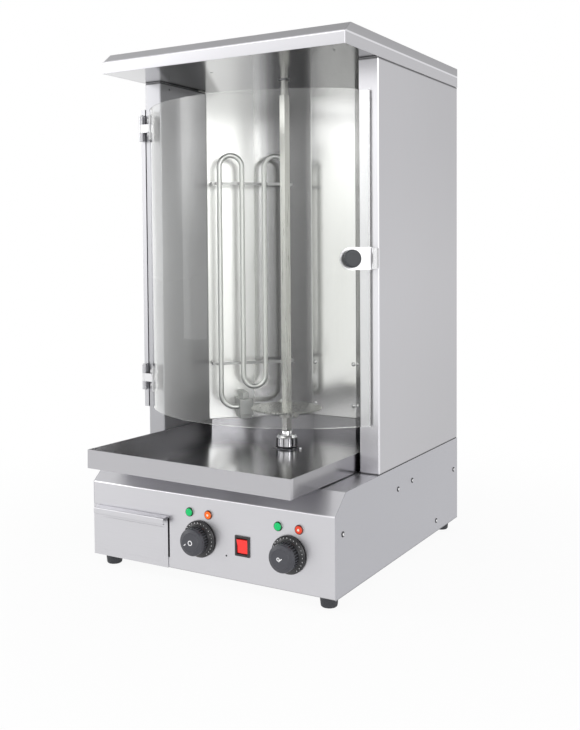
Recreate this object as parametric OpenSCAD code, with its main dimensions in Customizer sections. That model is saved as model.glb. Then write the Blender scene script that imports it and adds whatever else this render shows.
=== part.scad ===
// Electric skewer grill: a vertical spit in a mirror-lined cabinet, with a
// curved glass door, a drip tray, a drawer and two heat controls in its base.
// X is the width, Y runs from the control panel to the back, Z is up.
// The origin is on the floor, in the middle of the whole outline.

/* [Base] */
// Width of the base and the cabinet
body_w = 450; // [400:5:520]
// Depth of the base, from the control panel to the back
body_d = 492; // [460:1:560]
// Height of the upright part of the control panel
panel_h = 120.5; // [114:0.5:140]
// Rise of the sloping strip above the control panel
slope_h = 29; // [20:1:40]
// Depth of the sloping strip above the control panel
slope_d = 34; // [25:1:45]
// Thickness of the folded sheet
sheet = 1.2; // [1:0.1:1.6]
// Outer radius of a fold in the sheet
fold_r = 2.4; // [2:0.1:3]
// Height of a rubber foot
foot_h = 18.5; // [14:0.5:30]
// Diameter of a rubber foot at its top
foot_d = 28; // [24:1:32]
// Distance from the base's edges to the middle of a foot
foot_in = 23; // [20:1:45]

/* [Cabinet] */
// Distance from the control panel to the cabinet's front
cabinet_in = 149; // [140:1:165]
// Height of the cabinet's sides
cabinet_h = 645; // [600:5:720]
// Width of a side column as the front shows it
column_w = 34; // [30:1:40]
// Depth of the flat inner wall behind a column
inner_wall_d = 137; // [125:1:145]
// Distance from the control panel to the reflector's flat back
reflector_in = 432; // [425:1:440]
// Height of the shadow gap above and below the cabinet's sides
seam = 1.5; // [1:0.5:2.5]

/* [Hood] */
// Distance from the control panel to the hood's front edge
hood_in = 37; // [30:1:50]
// Height of the hood's upright front edge
hood_face_h = 18; // [14:1:24]
// Rise of the hood's sloping strip
hood_slope_h = 16; // [12:1:20]
// Depth of the hood's sloping strip
hood_slope_d = 20; // [15:1:26]
// Overhang of the hood behind the cabinet
hood_back = 2; // [2:0.5:6]

/* [Drip tray] */
// Width of the drip tray
tray_w = 376; // [360:1:376]
// Height of the drip tray's walls
tray_h = 29.75; // [26:0.25:36]
// Overhang of the drip tray in front of the control panel
tray_out = 53; // [40:1:55]
// Thickness of the drip tray's sheet
tray_sheet = 1; // [0.8:0.1:1.5]
// Gap between the drip tray and the reflector
tray_gap = 4; // [4:0.5:6]
// Angle that the loose drip tray lies turned through, seen from above
tray_turn = 0.85; // [0:0.05:1.2]
// Angle that the drip tray tips towards its right side
tray_lean = 0.5; // [0:0.05:0.5]
// Angle that the drip tray tips towards its back
tray_pitch = 0.48; // [0:0.02:0.5]
// Height of the drip tray's floor above the deck, on the spit's axis
tray_rest = 2.1; // [2.1:0.1:3]

/* [Drawer] */
// Width of the drawer's front plate
drawer_w = 152; // [146:1:153]
// Distance from the base's left side to the front plate
drawer_left = 1.1; // [1:0.1:2]
// Height of the front plate
drawer_h = 83; // [80:1:86]
// Distance from the base's bottom to the front plate
drawer_up = 0.3; // [0.2:0.1:1]
// Length of the drawer's box
drawer_l = 250; // [200:5:280]
// How far the front plate's folded lip stands out
lip_d = 12.5; // [10:0.5:16]
// Height of the lip's outer face
lip_h = 9.5; // [8:0.5:12]

/* [Glass door] */
// Outer radius of the curved glass
glass_r = 268; // [262:1:280]
// Thickness of the glass
glass_t = 5; // [4:0.5:6]
// Height of the glass
glass_h = 518; // [480:1:520]
// Height of the glass's lower edge above the deck
glass_up = 77; // [70:1:85]
// Gap between the glass's ends and the columns
glass_gap = 1.2; // [1:0.1:1.6]
// Height of the door's knob above the glass's lower edge
knob_up = 260; // [240:1:270]
// Diameter of the door's knob
door_knob_d = 28; // [24:1:32]
// Distance along the glass from its free end to the knob
pull_in = 33.2; // [30:0.1:36]
// Diameter of a hinge pin
pin_d = 5; // [4:0.5:6]

/* [Spit] */
// Distance from the control panel to the spit's axis
spit_in = 250; // [245:1:255]
// Side of the spit's square bar
spit_bar = 12; // [10:1:14]
// Diameter of the round end at the spit's top
spit_tip_d = 12; // [10:1:13]
// How far the spit lifts out of its socket
spit_lift = 18; // [17:0.5:19]
// Diameter of the disc that holds the meat up
disc_d = 124; // [100:1:140]
// Height of the disc's top above the deck
disc_up = 75; // [70:1:80]
// Diameter of the drive socket
socket_d = 37; // [34:1:40]
// Height of the drive socket above the tray
socket_h = 24; // [22:1:28]
// Diameter of the drive shaft
shaft_d = 12; // [10:1:14]

/* [Heating element] */
// Diameter of the heating tube
tube_d = 9.5; // [8:0.5:11]
// Distance between the legs of the heating tube
leg_gap = 42.4; // [40:0.1:44]
// Distance from the reflector to the heating tube's axis
tube_off = 35; // [30:1:40]
// Height of the upper bends above the deck
tube_top = 530; // [480:5:550]
// Height of the lower bend above the deck
tube_bottom = 91; // [90:1:110]

/* [Controls] */
// Diameter of a control knob's skirt
skirt_d = 57; // [50:1:60]
// Diameter of a control knob's grip
grip_d = 42; // [36:1:44]
// Length of a control knob, from the panel to its face
knob_l = 27; // [24:1:32]
// Height of the knobs' axes above the base's bottom
knob_z = 55.5; // [48:0.5:58]
// Distance from the middle to the left knob's axis, to the left
knob_1 = 10.5; // [6:0.5:12]
// Distance from the middle to the right knob's axis
knob_2 = 148.5; // [145:0.5:155]
// Height of the lamps above the base's bottom
lamp_z = 95; // [92:0.5:100]
// Diameter of a lamp's rim
lamp_d = 14.5; // [14:0.5:16]
// Distance from the middle to the rocker switch
switch_x = 67.5; // [60:0.5:75]
// Width of the rocker switch's frame
switch_w = 25.5; // [22:0.5:28]
// Height of the rocker switch's frame
switch_h = 31; // [28:0.5:33]
// Angle that the rocker turns through
rocker_turn = 16; // [12:1:20]

/* [Hidden] */
$fn = 48;

// How far the cable gland stands out at the back
gland_reach = 12;

// Places along the depth: the control panel's face, then what is behind it
front_y = tray_out - (tray_out + body_d + gland_reach) / 2;
back_y = front_y + body_d;
cabinet_y = front_y + cabinet_in;
reflector_y = front_y + reflector_in;
spit_y = front_y + spit_in;
hood_y = front_y + hood_in;
hood_back_y = back_y + hood_back;

// Places along the height
base_z = foot_h;
deck_z = base_z + panel_h + slope_h;
cabinet_top = deck_z + cabinet_h;
glass_z = deck_z + glass_up;
tray_floor = deck_z + tray_rest + tray_sheet;

// Places along the width
half_w = body_w / 2;
inner_x = half_w - column_w;
inner_end_y = cabinet_y + inner_wall_d;

// Clearances, as a gap on each side
run_gap = 0.05;   // a shaft or pin in its bush
slide_gap = 0.4;  // a flat piece that slides along another
near_gap = 0.3;   // a soft or curved piece beside its seat
cut_gap = 1;      // a piece that passes through a hole in the sheet

// ---- Sheet-metal helpers -------------------------------------------------

function unit(v) = v / norm(v);
function left_of(v) = [-v[1], v[0]];

// Points of the round that replaces corner q between p and s
function corner_arc(p, q, s, r, steps) =
    let (
        a = unit(p - q),
        b = unit(s - q),
        half = acos(a * b) / 2,
        c = q + unit(a + b) * r / sin(half),
        from = q + a * r / tan(half) - c,
        turn = (180 - 2 * half) * sign(a[0] * b[1] - a[1] * b[0])
    )
    [for (k = [0 : steps])
        let (w = -turn * k / steps)
        c + [from[0] * cos(w) - from[1] * sin(w), from[0] * sin(w) + from[1] * cos(w)]];

// A path with its inner corners rounded to radius r
function rounded(path, r, steps = 4) = concat(
    [path[0]],
    [for (i = [1 : len(path) - 2])
        each corner_arc(path[i - 1], path[i], path[i + 1], r, steps)],
    [path[len(path) - 1]]
);

// Point i of a path, moved by t to the left of its direction
function side_point(path, i, t) =
    let (
        n = len(path),
        a = i > 0 ? unit(path[i] - path[i - 1]) : unit(path[1] - path[0]),
        b = i < n - 1 ? unit(path[i + 1] - path[i]) : a,
        m = unit(left_of(a) + left_of(b))
    )
    path[i] + m * t / (m * left_of(a));

function side_path(path, t) = [for (i = [0 : len(path) - 1]) side_point(path, i, t)];

function reversed(path) = [for (i = [len(path) - 1 : -1 : 0]) path[i]];

// The cross-section of a sheet of thickness t to the left of a path
module fold(path, t) {
    polygon(concat(path, reversed(side_path(path, t))));
}

// Turns an outline drawn in Y and Z into a solid from x0 to x1
module along_x(x0, x1) {
    translate([x0, 0, 0])
        rotate([90, 0, 90])
            linear_extrude(x1 - x0) children();
}

// Turns an outline drawn in X and Z into a solid from y0 to y1
module along_y(y0, y1) {
    translate([0, y1, 0])
        rotate([90, 0, 0])
            linear_extrude(y1 - y0) children();
}

// A round bar or hole along Y
module rod_y(x, z, d, y0, y1) {
    translate([x, y0, z])
        rotate([-90, 0, 0])
            cylinder(d = d, h = y1 - y0);
}

// A round bar or hole along X
module rod_x(y, z, d, x0, x1) {
    translate([x0, y, z])
        rotate([0, 90, 0])
            cylinder(d = d, h = x1 - x0);
}

// Both sides of the object: the right one as drawn, the left one mirrored
module both_sides() {
    children();
    mirror([1, 0, 0]) children();
}

// ---- Base ----------------------------------------------------------------

steel = [0.76, 0.76, 0.79];
bright_steel = [0.86, 0.86, 0.88];
dark_plastic = [0.13, 0.13, 0.15];
rubber = [0.06, 0.06, 0.07];

base_inner_w = body_w - 2 * sheet;
pan_flange = 14;

// Outline of a base side: upright front, sloping strip, flat deck
side_outline = [
    [front_y, base_z], [front_y, base_z + panel_h],
    [front_y + slope_d, deck_z], [back_y, deck_z], [back_y, base_z]
];

// Screws that hold the base's sides: [distance from the panel, height]
side_screw_at = [
    [23, panel_h - 30], [221, panel_h - 8], [279, panel_h - 6],
    [body_d - 19, panel_h - 27], [body_d - 105, 19.5]
];
side_screw_d = 4;
side_head_d = 7;

foot_at = [
    for (sx = [-1, 1], y = [front_y + foot_in, back_y - foot_in])
        [sx * (half_w - foot_in), y]
];
foot_screw_d = 5;

vent_slots = 9;
vent_pitch = 16;
vent_l = 90;
vent_w = 5;

// A row of ventilation slots, drawn around the origin
module vents(count, pitch, l, w) {
    for (i = [0 : count - 1])
        translate([0, (i - (count - 1) / 2) * pitch])
            square([l, w], center = true);
}

module base_pan() {
    pan = rounded([
        [front_y + sheet + pan_flange + slide_gap, base_z + pan_flange],
        [front_y + sheet + pan_flange + slide_gap, base_z],
        [back_y - sheet - slide_gap, base_z],
        [back_y - sheet - slide_gap, base_z + pan_flange]
    ], fold_r);
    color(steel)
        difference() {
            along_x(-base_inner_w / 2, base_inner_w / 2) fold(pan, sheet);
            for (p = foot_at)
                translate([p[0], p[1], base_z - 1])
                    cylinder(d = foot_screw_d + 0.4, h = sheet + 2);
            for (sx = [-1, 1])
                translate([sx * body_w / 5, front_y + body_d * 0.62, base_z - 1])
                    linear_extrude(sheet + 2) vents(vent_slots, vent_pitch, vent_l, vent_w);
        }
}

module base_side() {
    color(steel)
        difference() {
            along_x(half_w - sheet, half_w) polygon(side_outline);
            for (p = side_screw_at)
                rod_x(front_y + p[0], base_z + p[1], side_screw_d + 0.2,
                      half_w - sheet - 1, half_w + 1);
        }
}

module base_side_right() {
    base_side();
}

module base_side_left() {
    mirror([1, 0, 0]) base_side();
}

// The drawer's front plate, which covers all but one edge of its opening
plate_x0 = -half_w + drawer_left;
plate_x1 = plate_x0 + drawer_w;
plate_z0 = base_z + drawer_up;
plate_z1 = plate_z0 + drawer_h;
opening_x0 = plate_x0 + 12.9;
opening_x1 = plate_x1 + 2.6;
opening_z0 = base_z + 17;
opening_z1 = plate_z1 - 3.8;

knob_xs = [-knob_1, knob_2];
lamp_offs = [[-19, 16.5], [-18, 17.5]];
lamp_xs = [for (i = [0, 1], d = lamp_offs[i]) knob_xs[i] + d];
lamp_body_d = 11;
nose_d = 10;
reset_hole = [38, 36.5, 3];
switch_body_gap = 2.2;
switch_z = base_z + (panel_h - 9.5) / 2;

module front_panel() {
    skin = rounded([
        [front_y + pan_flange, base_z],
        [front_y, base_z],
        [front_y, base_z + panel_h],
        [front_y + slope_d, deck_z],
        [back_y, deck_z]
    ], fold_r);
    cut_y0 = front_y - 1;
    cut_y1 = front_y + sheet + 1;
    color(steel)
        difference() {
            along_x(-base_inner_w / 2, base_inner_w / 2) fold(skin, -sheet);
            along_y(cut_y0, cut_y1)
                translate([opening_x0, opening_z0])
                    square([opening_x1 - opening_x0, opening_z1 - opening_z0]);
            for (x = knob_xs)
                rod_y(x, base_z + knob_z, nose_d + 2 * cut_gap, cut_y0, cut_y1);
            for (x = lamp_xs)
                rod_y(x, base_z + lamp_z, lamp_body_d + 2 * near_gap, cut_y0, cut_y1);
            rod_y(reset_hole[0], base_z + reset_hole[1], reset_hole[2], cut_y0, cut_y1);
            along_y(cut_y0, cut_y1)
                translate([switch_x, switch_z])
                    square([switch_w - switch_body_gap, switch_h - switch_body_gap], center = true);
            translate([0, spit_y, deck_z - sheet - 1])
                cylinder(d = bush_d + 2 * near_gap, h = sheet + 2);
        }
}

gland_x = half_w - 70;
gland_z = 40.5;
gland_d = 16;
gland_bore_d = 9;

module base_back() {
    color(steel)
        difference() {
            along_y(back_y - sheet, back_y)
                translate([-base_inner_w / 2, base_z])
                    square([base_inner_w, panel_h + slope_h - sheet]);
            along_y(back_y - sheet - 1, back_y + 1)
                translate([-body_w / 8, base_z + (panel_h + slope_h) / 2])
                    vents(5, vent_pitch, body_w * 0.4, vent_w);
            rod_y(gland_x, base_z + gland_z, gland_d + 2 * near_gap, back_y - sheet - 1, back_y + 1);
        }
}

module cable_gland() {
    flange_t = 3;
    color(dark_plastic)
        translate([gland_x, back_y - sheet, base_z + gland_z])
            rotate([-90, 0, 0])
                difference() {
                    union() {
                        translate([0, 0, -6]) cylinder(d = gland_d + 6, h = 6, $fn = 6);
                        translate([0, 0, -14]) cylinder(d = gland_d, h = 14 + sheet);
                        translate([0, 0, sheet]) cylinder(d = gland_d + 7, h = flange_t);
                        translate([0, 0, sheet + flange_t])
                            cylinder(d = gland_d - 1, h = gland_reach - flange_t);
                    }
                    translate([0, 0, -20]) cylinder(d = gland_bore_d, h = 50);
                }
}

module feet() {
    foot_taper = 3;
    recess_d = 10;
    round_r = 3;
    color(rubber)
        for (p = foot_at)
            translate([p[0], p[1], 0])
                rotate_extrude()
                    polygon([
                        [foot_screw_d / 2 + 0.2, foot_h], [foot_screw_d / 2 + 0.2, 7],
                        [recess_d / 2, 7], [recess_d / 2, 0],
                        for (k = [0 : 3])
                            [foot_d / 2 - foot_taper / 2 - round_r + round_r * sin(k * 30),
                             round_r - round_r * cos(k * 30)],
                        [foot_d / 2, foot_h - 1.5], [foot_d / 2, foot_h]
                    ]);
}

module foot_screws() {
    color(bright_steel)
        for (p = foot_at)
            translate([p[0], p[1], 0]) {
                translate([0, 0, 4]) cylinder(d = 9, h = 3);
                translate([0, 0, 6.5]) cylinder(d = foot_screw_d, h = foot_h + 5 - 6.5);
                translate([0, 0, foot_h + sheet]) cylinder(d = 9, h = 4, $fn = 6);
            }
}

// ---- Drawer --------------------------------------------------------------

box_wall = 1;
rail_web = 1.2;
rail_h = 38;
box_x0 = opening_x0 + 3;
box_x1 = opening_x1 - 6.7;
box_z0 = opening_z0 + 2.5;
box_h = 44;
front_t = 1.1;
front_gap = 0.3;
plate_y = front_y - front_gap - front_t;

// One rail: a web that stands on the pan, with a shelf under the drawer
module drawer_rail() {
    foot_w = 14;
    shelf_w = 9;
    x = box_x1 + slide_gap;
    along_y(front_y + sheet + pan_flange + slide_gap + fold_r, front_y + drawer_l + 20)
        polygon([
            [x + foot_w, base_z + sheet], [x + foot_w, base_z + 2 * sheet],
            [x + rail_web, base_z + 2 * sheet], [x + rail_web, box_z0 + rail_h],
            [x, box_z0 + rail_h], [x, box_z0 - near_gap],
            [x - shelf_w, box_z0 - near_gap], [x - shelf_w, box_z0 - near_gap - rail_web],
            [x, box_z0 - near_gap - rail_web], [x, base_z + sheet]
        ]);
}

module drawer_rails() {
    middle = box_x0 + box_x1;
    color(steel) {
        drawer_rail();
        translate([middle, 0, 0]) mirror([1, 0, 0]) drawer_rail();
    }
}

module drawer_box() {
    y0 = plate_y + front_t;
    color(steel)
        difference() {
            translate([box_x0, y0, box_z0])
                cube([box_x1 - box_x0, drawer_l, box_h]);
            translate([box_x0 + box_wall, y0 + box_wall, box_z0 + box_wall])
                cube([box_x1 - box_x0 - 2 * box_wall, drawer_l - 2 * box_wall, box_h]);
        }
}

// The front plate, whose top folds forward and down into a lip to pull at
module drawer_front() {
    lip_in = 10.5;   // from the plate's left end to the lip's
    lip_fall = 1.7;  // slope of the lip's top
    hem = 3;
    top = plate_z1 - front_t;
    path = rounded([
        [plate_y, plate_z0], [plate_y, top],
        [plate_y - lip_d + front_t, top - lip_fall],
        [plate_y - lip_d + front_t, top - lip_fall + front_t - lip_h],
        [plate_y - lip_d + front_t + hem, top - lip_fall + front_t - lip_h]
    ], 0.8);
    color(steel) {
        along_x(plate_x0 + lip_in, plate_x1) fold(path, -front_t);
        translate([plate_x0, plate_y, plate_z0]) cube([lip_in + 1, front_t, drawer_h]);
    }
}

// ---- Cabinet -------------------------------------------------------------

back_return = 15;
flange_w = 10;
seat_inset = 1.5;

// Plan of the right side: back return, outer skin, column face, inner wall
side_plan = [
    [half_w - back_return, back_y], [half_w, back_y], [half_w, cabinet_y],
    [inner_x, cabinet_y], [inner_x, inner_end_y]
];

// How far the reflector's ends lap over the sides' inner walls
reflector_lap = 20;
// Plan of a side's seat, which stops in front of that lap
seat_plan = [
    for (i = [0 : len(side_plan) - 1])
        i < len(side_plan) - 1 ? side_plan[i] : [inner_x, inner_end_y - reflector_lap - cut_gap]
];

module cabinet_side() {
    skin_z = deck_z + seam;
    skin_h = cabinet_h - 2 * seam;
    seat = side_path(seat_plan, -seat_inset);
    wall_hole = [26, 10, 4];
    color(bright_steel)
        difference() {
            union() {
                translate([0, 0, skin_z])
                    linear_extrude(skin_h) fold(rounded(side_plan, fold_r), -sheet);
                for (z = [deck_z, skin_z + skin_h - sheet])
                    translate([0, 0, z])
                        linear_extrude(seam + sheet) fold(seat, -flange_w);
            }
            rod_x(cabinet_y + wall_hole[0], cabinet_top - wall_hole[1], wall_hole[2],
                  inner_x - 1, inner_x + sheet + 1);
        }
}

module cabinet_side_right() {
    cabinet_side();
}

module cabinet_side_left() {
    mirror([1, 0, 0]) cabinet_side();
}

cover_w = 2 * half_w - 16;
cover_z0 = deck_z + 4;
cover_h = cabinet_h - 8;

module cabinet_back() {
    color(steel)
        difference() {
            along_y(back_y, back_y + sheet)
                translate([-cover_w / 2, cover_z0]) square([cover_w, cover_h]);
            for (z = [cover_z0 + cover_h * 0.12, cover_z0 + cover_h * 0.88])
                along_y(back_y - 1, back_y + sheet + 1)
                    translate([0, z]) vents(5, vent_pitch, cover_w * 0.5, vent_w);
            for (p = back_screw_at)
                rod_y(p[0], p[1], side_screw_d + 0.2, back_y - 1, back_y + sheet + 1);
        }
}

// Plan of the reflector's mirror side, from the left wall round to the right
reflector_x = inner_x + sheet;
// The slanting panels stand at 45 degrees, which leaves this half of the back
reflector_back = reflector_x - (reflector_y - inner_end_y - sheet);
reflector_plan = [
    [-reflector_x, inner_end_y - reflector_lap],
    [-reflector_x, inner_end_y + sheet],
    [-reflector_back, reflector_y],
    [reflector_back, reflector_y],
    [reflector_x, inner_end_y + sheet],
    [reflector_x, inner_end_y - reflector_lap]
];
rivet_in = 6;         // from the back's edge to a rivet
rivet_up = [53, 133]; // heights above the deck
rivet_at = [for (sx = [-1, 1], z = rivet_up) [sx * (reflector_back - rivet_in), deck_z + z]];
rivet_d = 4;

module reflector() {
    color(bright_steel)
        difference() {
            translate([0, 0, deck_z])
                linear_extrude(cabinet_h) fold(rounded(reflector_plan, 4, 5), sheet);
            for (p = rivet_at)
                rod_y(p[0], p[1], rivet_d + 0.2, reflector_y - 1, reflector_y + sheet + 1);
        }
}

module reflector_rivets() {
    head_d = 8;
    head_h = 1.8;
    color(bright_steel)
        for (p = rivet_at)
            translate([p[0], reflector_y, p[1]])
                rotate([90, 0, 0]) {
                    rotate_extrude()
                        polygon([
                            [0, 0], [head_d / 2, 0], [head_d / 2, 0.4],
                            [head_d / 3, head_h * 0.8], [head_d / 6, head_h], [0, head_h]
                        ]);
                    translate([0, 0, -sheet - 2]) cylinder(d = rivet_d, h = sheet + 2);
                    translate([0, 0, -sheet - 2]) cylinder(d = rivet_d + 2, h = 2);
                }
}

// ---- Hood ----------------------------------------------------------------

hood_z = cabinet_top;
hood_top = hood_z + hood_face_h + hood_slope_h;

// Outline of the hood's side, moved inwards by t
function hood_outline(t) =
    let (slope = hood_slope_h / hood_slope_d, along = sqrt(1 + slope * slope))
    [
        [hood_y + t, hood_z - t], [hood_y + t, hood_z + hood_face_h + t * (slope + 1 - along) - t],
        [hood_y + hood_slope_d + t * (along - 1) / slope, hood_top - t],
        [hood_back_y - t, hood_top - t], [hood_back_y - t, hood_z - t]
    ];

module hood_shell() {
    color(bright_steel)
        difference() {
            along_x(-half_w, half_w) polygon(hood_outline(0));
            along_x(-half_w + sheet, half_w - sheet) polygon(hood_outline(sheet));
        }
}

liner_hole = [[-66, 88], [189, 36]];

module hood_liner() {
    color(bright_steel)
        difference() {
            translate([-half_w + sheet, hood_y + sheet, hood_z])
                cube([body_w - 2 * sheet, hood_back_y - hood_y - 2 * sheet, sheet]);
            translate([0, spit_y, hood_z - 1])
                cylinder(d = top_bush_d + 2 * near_gap, h = sheet + 2);
            for (p = liner_hole)
                translate([p[0], hood_y + p[1], hood_z - 1]) cylinder(d = 5, h = sheet + 2);
        }
}

// ---- Spit and its drive --------------------------------------------------

top_bush_d = 16;
top_bush_up = 9;
bush_d = 22;
spit_turn = -15;
tip_bore_d = spit_tip_d + 2 * run_gap;
socket_floor = 6;
socket_depth = 16;
ring_d = socket_d + 12;
ring_t = 2.5;
socket_z = tray_floor + ring_t + 1;
socket_top = tray_floor + socket_h;
spit_z = socket_top - socket_depth;
tip_z = cabinet_top - spit_lift - 9;

module spit_top_bush() {
    flange_d = 20;
    flange_t = 1.5;
    color(dark_plastic)
        translate([0, spit_y, hood_z])
            difference() {
                union() {
                    translate([0, 0, -flange_t]) cylinder(d = flange_d, h = flange_t);
                    cylinder(d = top_bush_d, h = top_bush_up);
                }
                translate([0, 0, -flange_t - 1])
                    cylinder(d = tip_bore_d, h = flange_t + top_bush_up + 2);
            }
}

module spit_rod() {
    tip_over = 2;
    color(bright_steel)
        translate([0, spit_y, 0])
            rotate([0, 0, spit_turn]) {
                translate([-spit_bar / 2, -spit_bar / 2, spit_z])
                    cube([spit_bar, spit_bar, tip_z - spit_z]);
                translate([0, 0, tip_z])
                    cylinder(d = spit_tip_d, h = cabinet_top + top_bush_up + tip_over - tip_z);
            }
}

module spit_disc() {
    disc_t = 3;
    hub_d = 26;
    hub_h = 14;
    rim_r = 1.2;
    z = deck_z + disc_up;
    color(bright_steel)
        translate([0, spit_y, 0])
            rotate([0, 0, spit_turn])
                difference() {
                    union() {
                        translate([0, 0, z - disc_t])
                            rotate_extrude($fn = 96)
                                polygon([
                                    [0, 0], [disc_d / 2 - rim_r, 0], [disc_d / 2, rim_r],
                                    [disc_d / 2, disc_t - rim_r], [disc_d / 2 - rim_r, disc_t],
                                    [0, disc_t]
                                ]);
                        translate([0, 0, z - disc_t - hub_h]) cylinder(d = hub_d, h = hub_h);
                        rod_x(0, z - disc_t - hub_h / 2, 6, 0, hub_d / 2 + 7);
                        rod_x(0, z - disc_t - hub_h / 2, 12, hub_d / 2 + 7, hub_d / 2 + 12);
                    }
                    translate([0, 0, z])
                        cube([spit_bar, spit_bar, 4 * hub_h], center = true);
                }
}

// The socket that drives the spit, with grip flats round its drum
module drive_socket() {
    flats = 10;
    flute_d = 5;
    lead = 1.5;
    h = socket_top - socket_z;
    color(bright_steel)
        translate([0, spit_y, socket_z])
            rotate([0, 0, spit_turn])
                difference() {
                    rotate_extrude()
                        polygon([
                            [0, 0], [socket_d / 2, 0], [socket_d / 2, h - 5],
                            [socket_d / 2 - 2, h - 3], [socket_d / 2 - 2, h - lead],
                            [socket_d / 2 - 2 - lead, h], [0, h]
                        ]);
                    for (i = [0 : flats - 1])
                        rotate([0, 0, i * 360 / flats])
                            translate([socket_d / 2 + 1.4, 0, 3]) cylinder(d = flute_d, h = h);
                    translate([0, 0, h - socket_depth / 2 + 1])
                        cube([spit_bar + 2 * near_gap, spit_bar + 2 * near_gap, socket_depth + 2],
                             center = true);
                    translate([0, 0, -1]) cylinder(d = shaft_d, h = socket_seat + 1);
                }
}

// The shaft ends inside the socket, under its square hole
socket_seat = socket_top - socket_depth - socket_z - 1;
bush_flange_t = 3;
bush_len = 16;
gearbox_top = deck_z - sheet - 30;
gearbox_h = 42;

module drive_shaft() {
    color(bright_steel)
        translate([0, spit_y, gearbox_top - gearbox_h + 8])
            cylinder(d = shaft_d, h = socket_z + socket_seat - gearbox_top + gearbox_h - 8);
}

module deck_bush() {
    color("tan")
        translate([0, spit_y, deck_z - sheet])
            difference() {
                union() {
                    translate([0, 0, -bush_flange_t])
                        cylinder(d = bush_d + 12, h = bush_flange_t);
                    translate([0, 0, -bush_len]) cylinder(d = bush_d, h = bush_len + sheet);
                }
                translate([0, 0, -bush_len - 1])
                    cylinder(d = shaft_d + 2 * run_gap, h = bush_len + sheet + 2);
            }
}

gearbox_w = 64;
gearbox_l = 84;
gearbox_off = 18;

module gearbox() {
    color("slategray")
        difference() {
            translate([0, spit_y + gearbox_off, gearbox_top - gearbox_h])
                linear_extrude(gearbox_h)
                    difference() {
                        square([gearbox_w, gearbox_l], center = true);
                        for (sx = [-1, 1], sy = [-1, 1])
                            translate([sx * gearbox_w / 2, sy * gearbox_l / 2])
                                rotate([0, 0, 45]) square(10, center = true);
                    }
            translate([0, spit_y, gearbox_top - gearbox_h - 1])
                cylinder(d = shaft_d + 2 * run_gap, h = gearbox_h + 2);
        }
}

module drive_motor() {
    can_d = 46;
    can_h = 34;
    z = gearbox_top - gearbox_h;
    color([0.35, 0.36, 0.38])
        translate([0, spit_y + gearbox_off + gearbox_l / 4, z - can_h])
            rotate_extrude()
                polygon([
                    [0, 0], [can_d / 2 - 3, 0], [can_d / 2, 3], [can_d / 2, can_h], [0, can_h]
                ]);
}

// A hat-shaped bracket that hangs the gearbox under the deck
module motor_bracket() {
    strap_w = 40;
    plate_t = 2;
    flange = 18;
    top = deck_z - sheet;
    path = [
        [-gearbox_w / 2 - flange, top], [-gearbox_w / 2 - plate_t, top],
        [-gearbox_w / 2 - plate_t, gearbox_top + plate_t],
        [gearbox_w / 2 + plate_t, gearbox_top + plate_t],
        [gearbox_w / 2 + plate_t, top], [gearbox_w / 2 + flange, top]
    ];
    color(steel)
        difference() {
            along_y(spit_y - strap_w / 2, spit_y + strap_w / 2)
                fold(side_path(path, -plate_t), plate_t);
            translate([0, spit_y, gearbox_top - 1])
                cylinder(d = bush_d + 2, h = plate_t + 2);
        }
}

// ---- Heating element -----------------------------------------------------

// The element stands in front of the reflector's left slanting panel. Inside
// element_frame, X runs along that panel, Y towards it and Z is up.
bend_r = leg_gap / 2;
leg_1 = 17.6;
leg_xs = [for (i = [0 : 3]) leg_1 + i * leg_gap];
terminal_x = 62.5;
terminal_w = 26;
terminal_h = 29;
terminal_z = 67;
tail_r = 26;
tail_z = terminal_z - 8;
strap_low_z = 140;
strap_high_z = 474;

module element_frame() {
    translate([-reflector_x, inner_end_y + sheet, deck_z])
        rotate([0, 0, 45])
            translate([0, -tube_off, 0]) children();
}

// A half or quarter bend of the tube in the X-Z plane, round its own centre
module tube_bend(r, from, turn) {
    rotate([90, 0, 0])
        rotate([0, 0, from])
            rotate_extrude(angle = turn)
                translate([r, 0]) circle(d = tube_d, $fn = 32);
}

module tube_leg(x, z0, z1) {
    translate([x, 0, z0]) cylinder(d = tube_d, h = z1 - z0, $fn = 32);
}

module heating_tube() {
    arch_z = tube_top - tube_d / 2 - bend_r;
    sag_z = tube_bottom + tube_d / 2 + bend_r;
    color([0.62, 0.63, 0.62])
        element_frame() {
            tube_leg(leg_xs[0], tail_z + tail_r, arch_z);
            tube_leg(leg_xs[1], sag_z, arch_z);
            tube_leg(leg_xs[2], sag_z, arch_z);
            tube_leg(leg_xs[3], tail_z + tail_r, arch_z);
            translate([leg_xs[0] + bend_r, 0, arch_z]) tube_bend(bend_r, 0, 180);
            translate([leg_xs[2] + bend_r, 0, arch_z]) tube_bend(bend_r, 0, 180);
            translate([leg_xs[1] + bend_r, 0, sag_z]) tube_bend(bend_r, 180, 180);
            translate([leg_xs[0] + tail_r, 0, tail_z + tail_r]) tube_bend(tail_r, 180, 90);
            translate([leg_xs[3] - tail_r, 0, tail_z + tail_r]) tube_bend(tail_r, 270, 90);
            rod_x(0, tail_z, tube_d, leg_xs[0] + tail_r, terminal_x - terminal_w / 2);
            rod_x(0, tail_z, tube_d, terminal_x + terminal_w / 2, leg_xs[3] - tail_r);
        }
}

module element_terminal() {
    cap = 13;
    neck_w = 12;
    foot_z = tray_h + tray_rest + 4;
    color([0.6, 0.6, 0.6])
        element_frame() {
            translate([terminal_x - terminal_w / 2, -cap, tail_z - terminal_h / 2])
                cube([terminal_w, tube_off + cap, terminal_h]);
            translate([terminal_x - neck_w / 2, -cap / 2, tail_z + terminal_h / 2])
                cube([neck_w, tube_off + cap / 2, 12]);
            translate([terminal_x - terminal_w / 2 + 3, 0, foot_z])
                cube([terminal_w - 3, tube_off, tail_z - terminal_h / 2 - foot_z]);
        }
}

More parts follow.
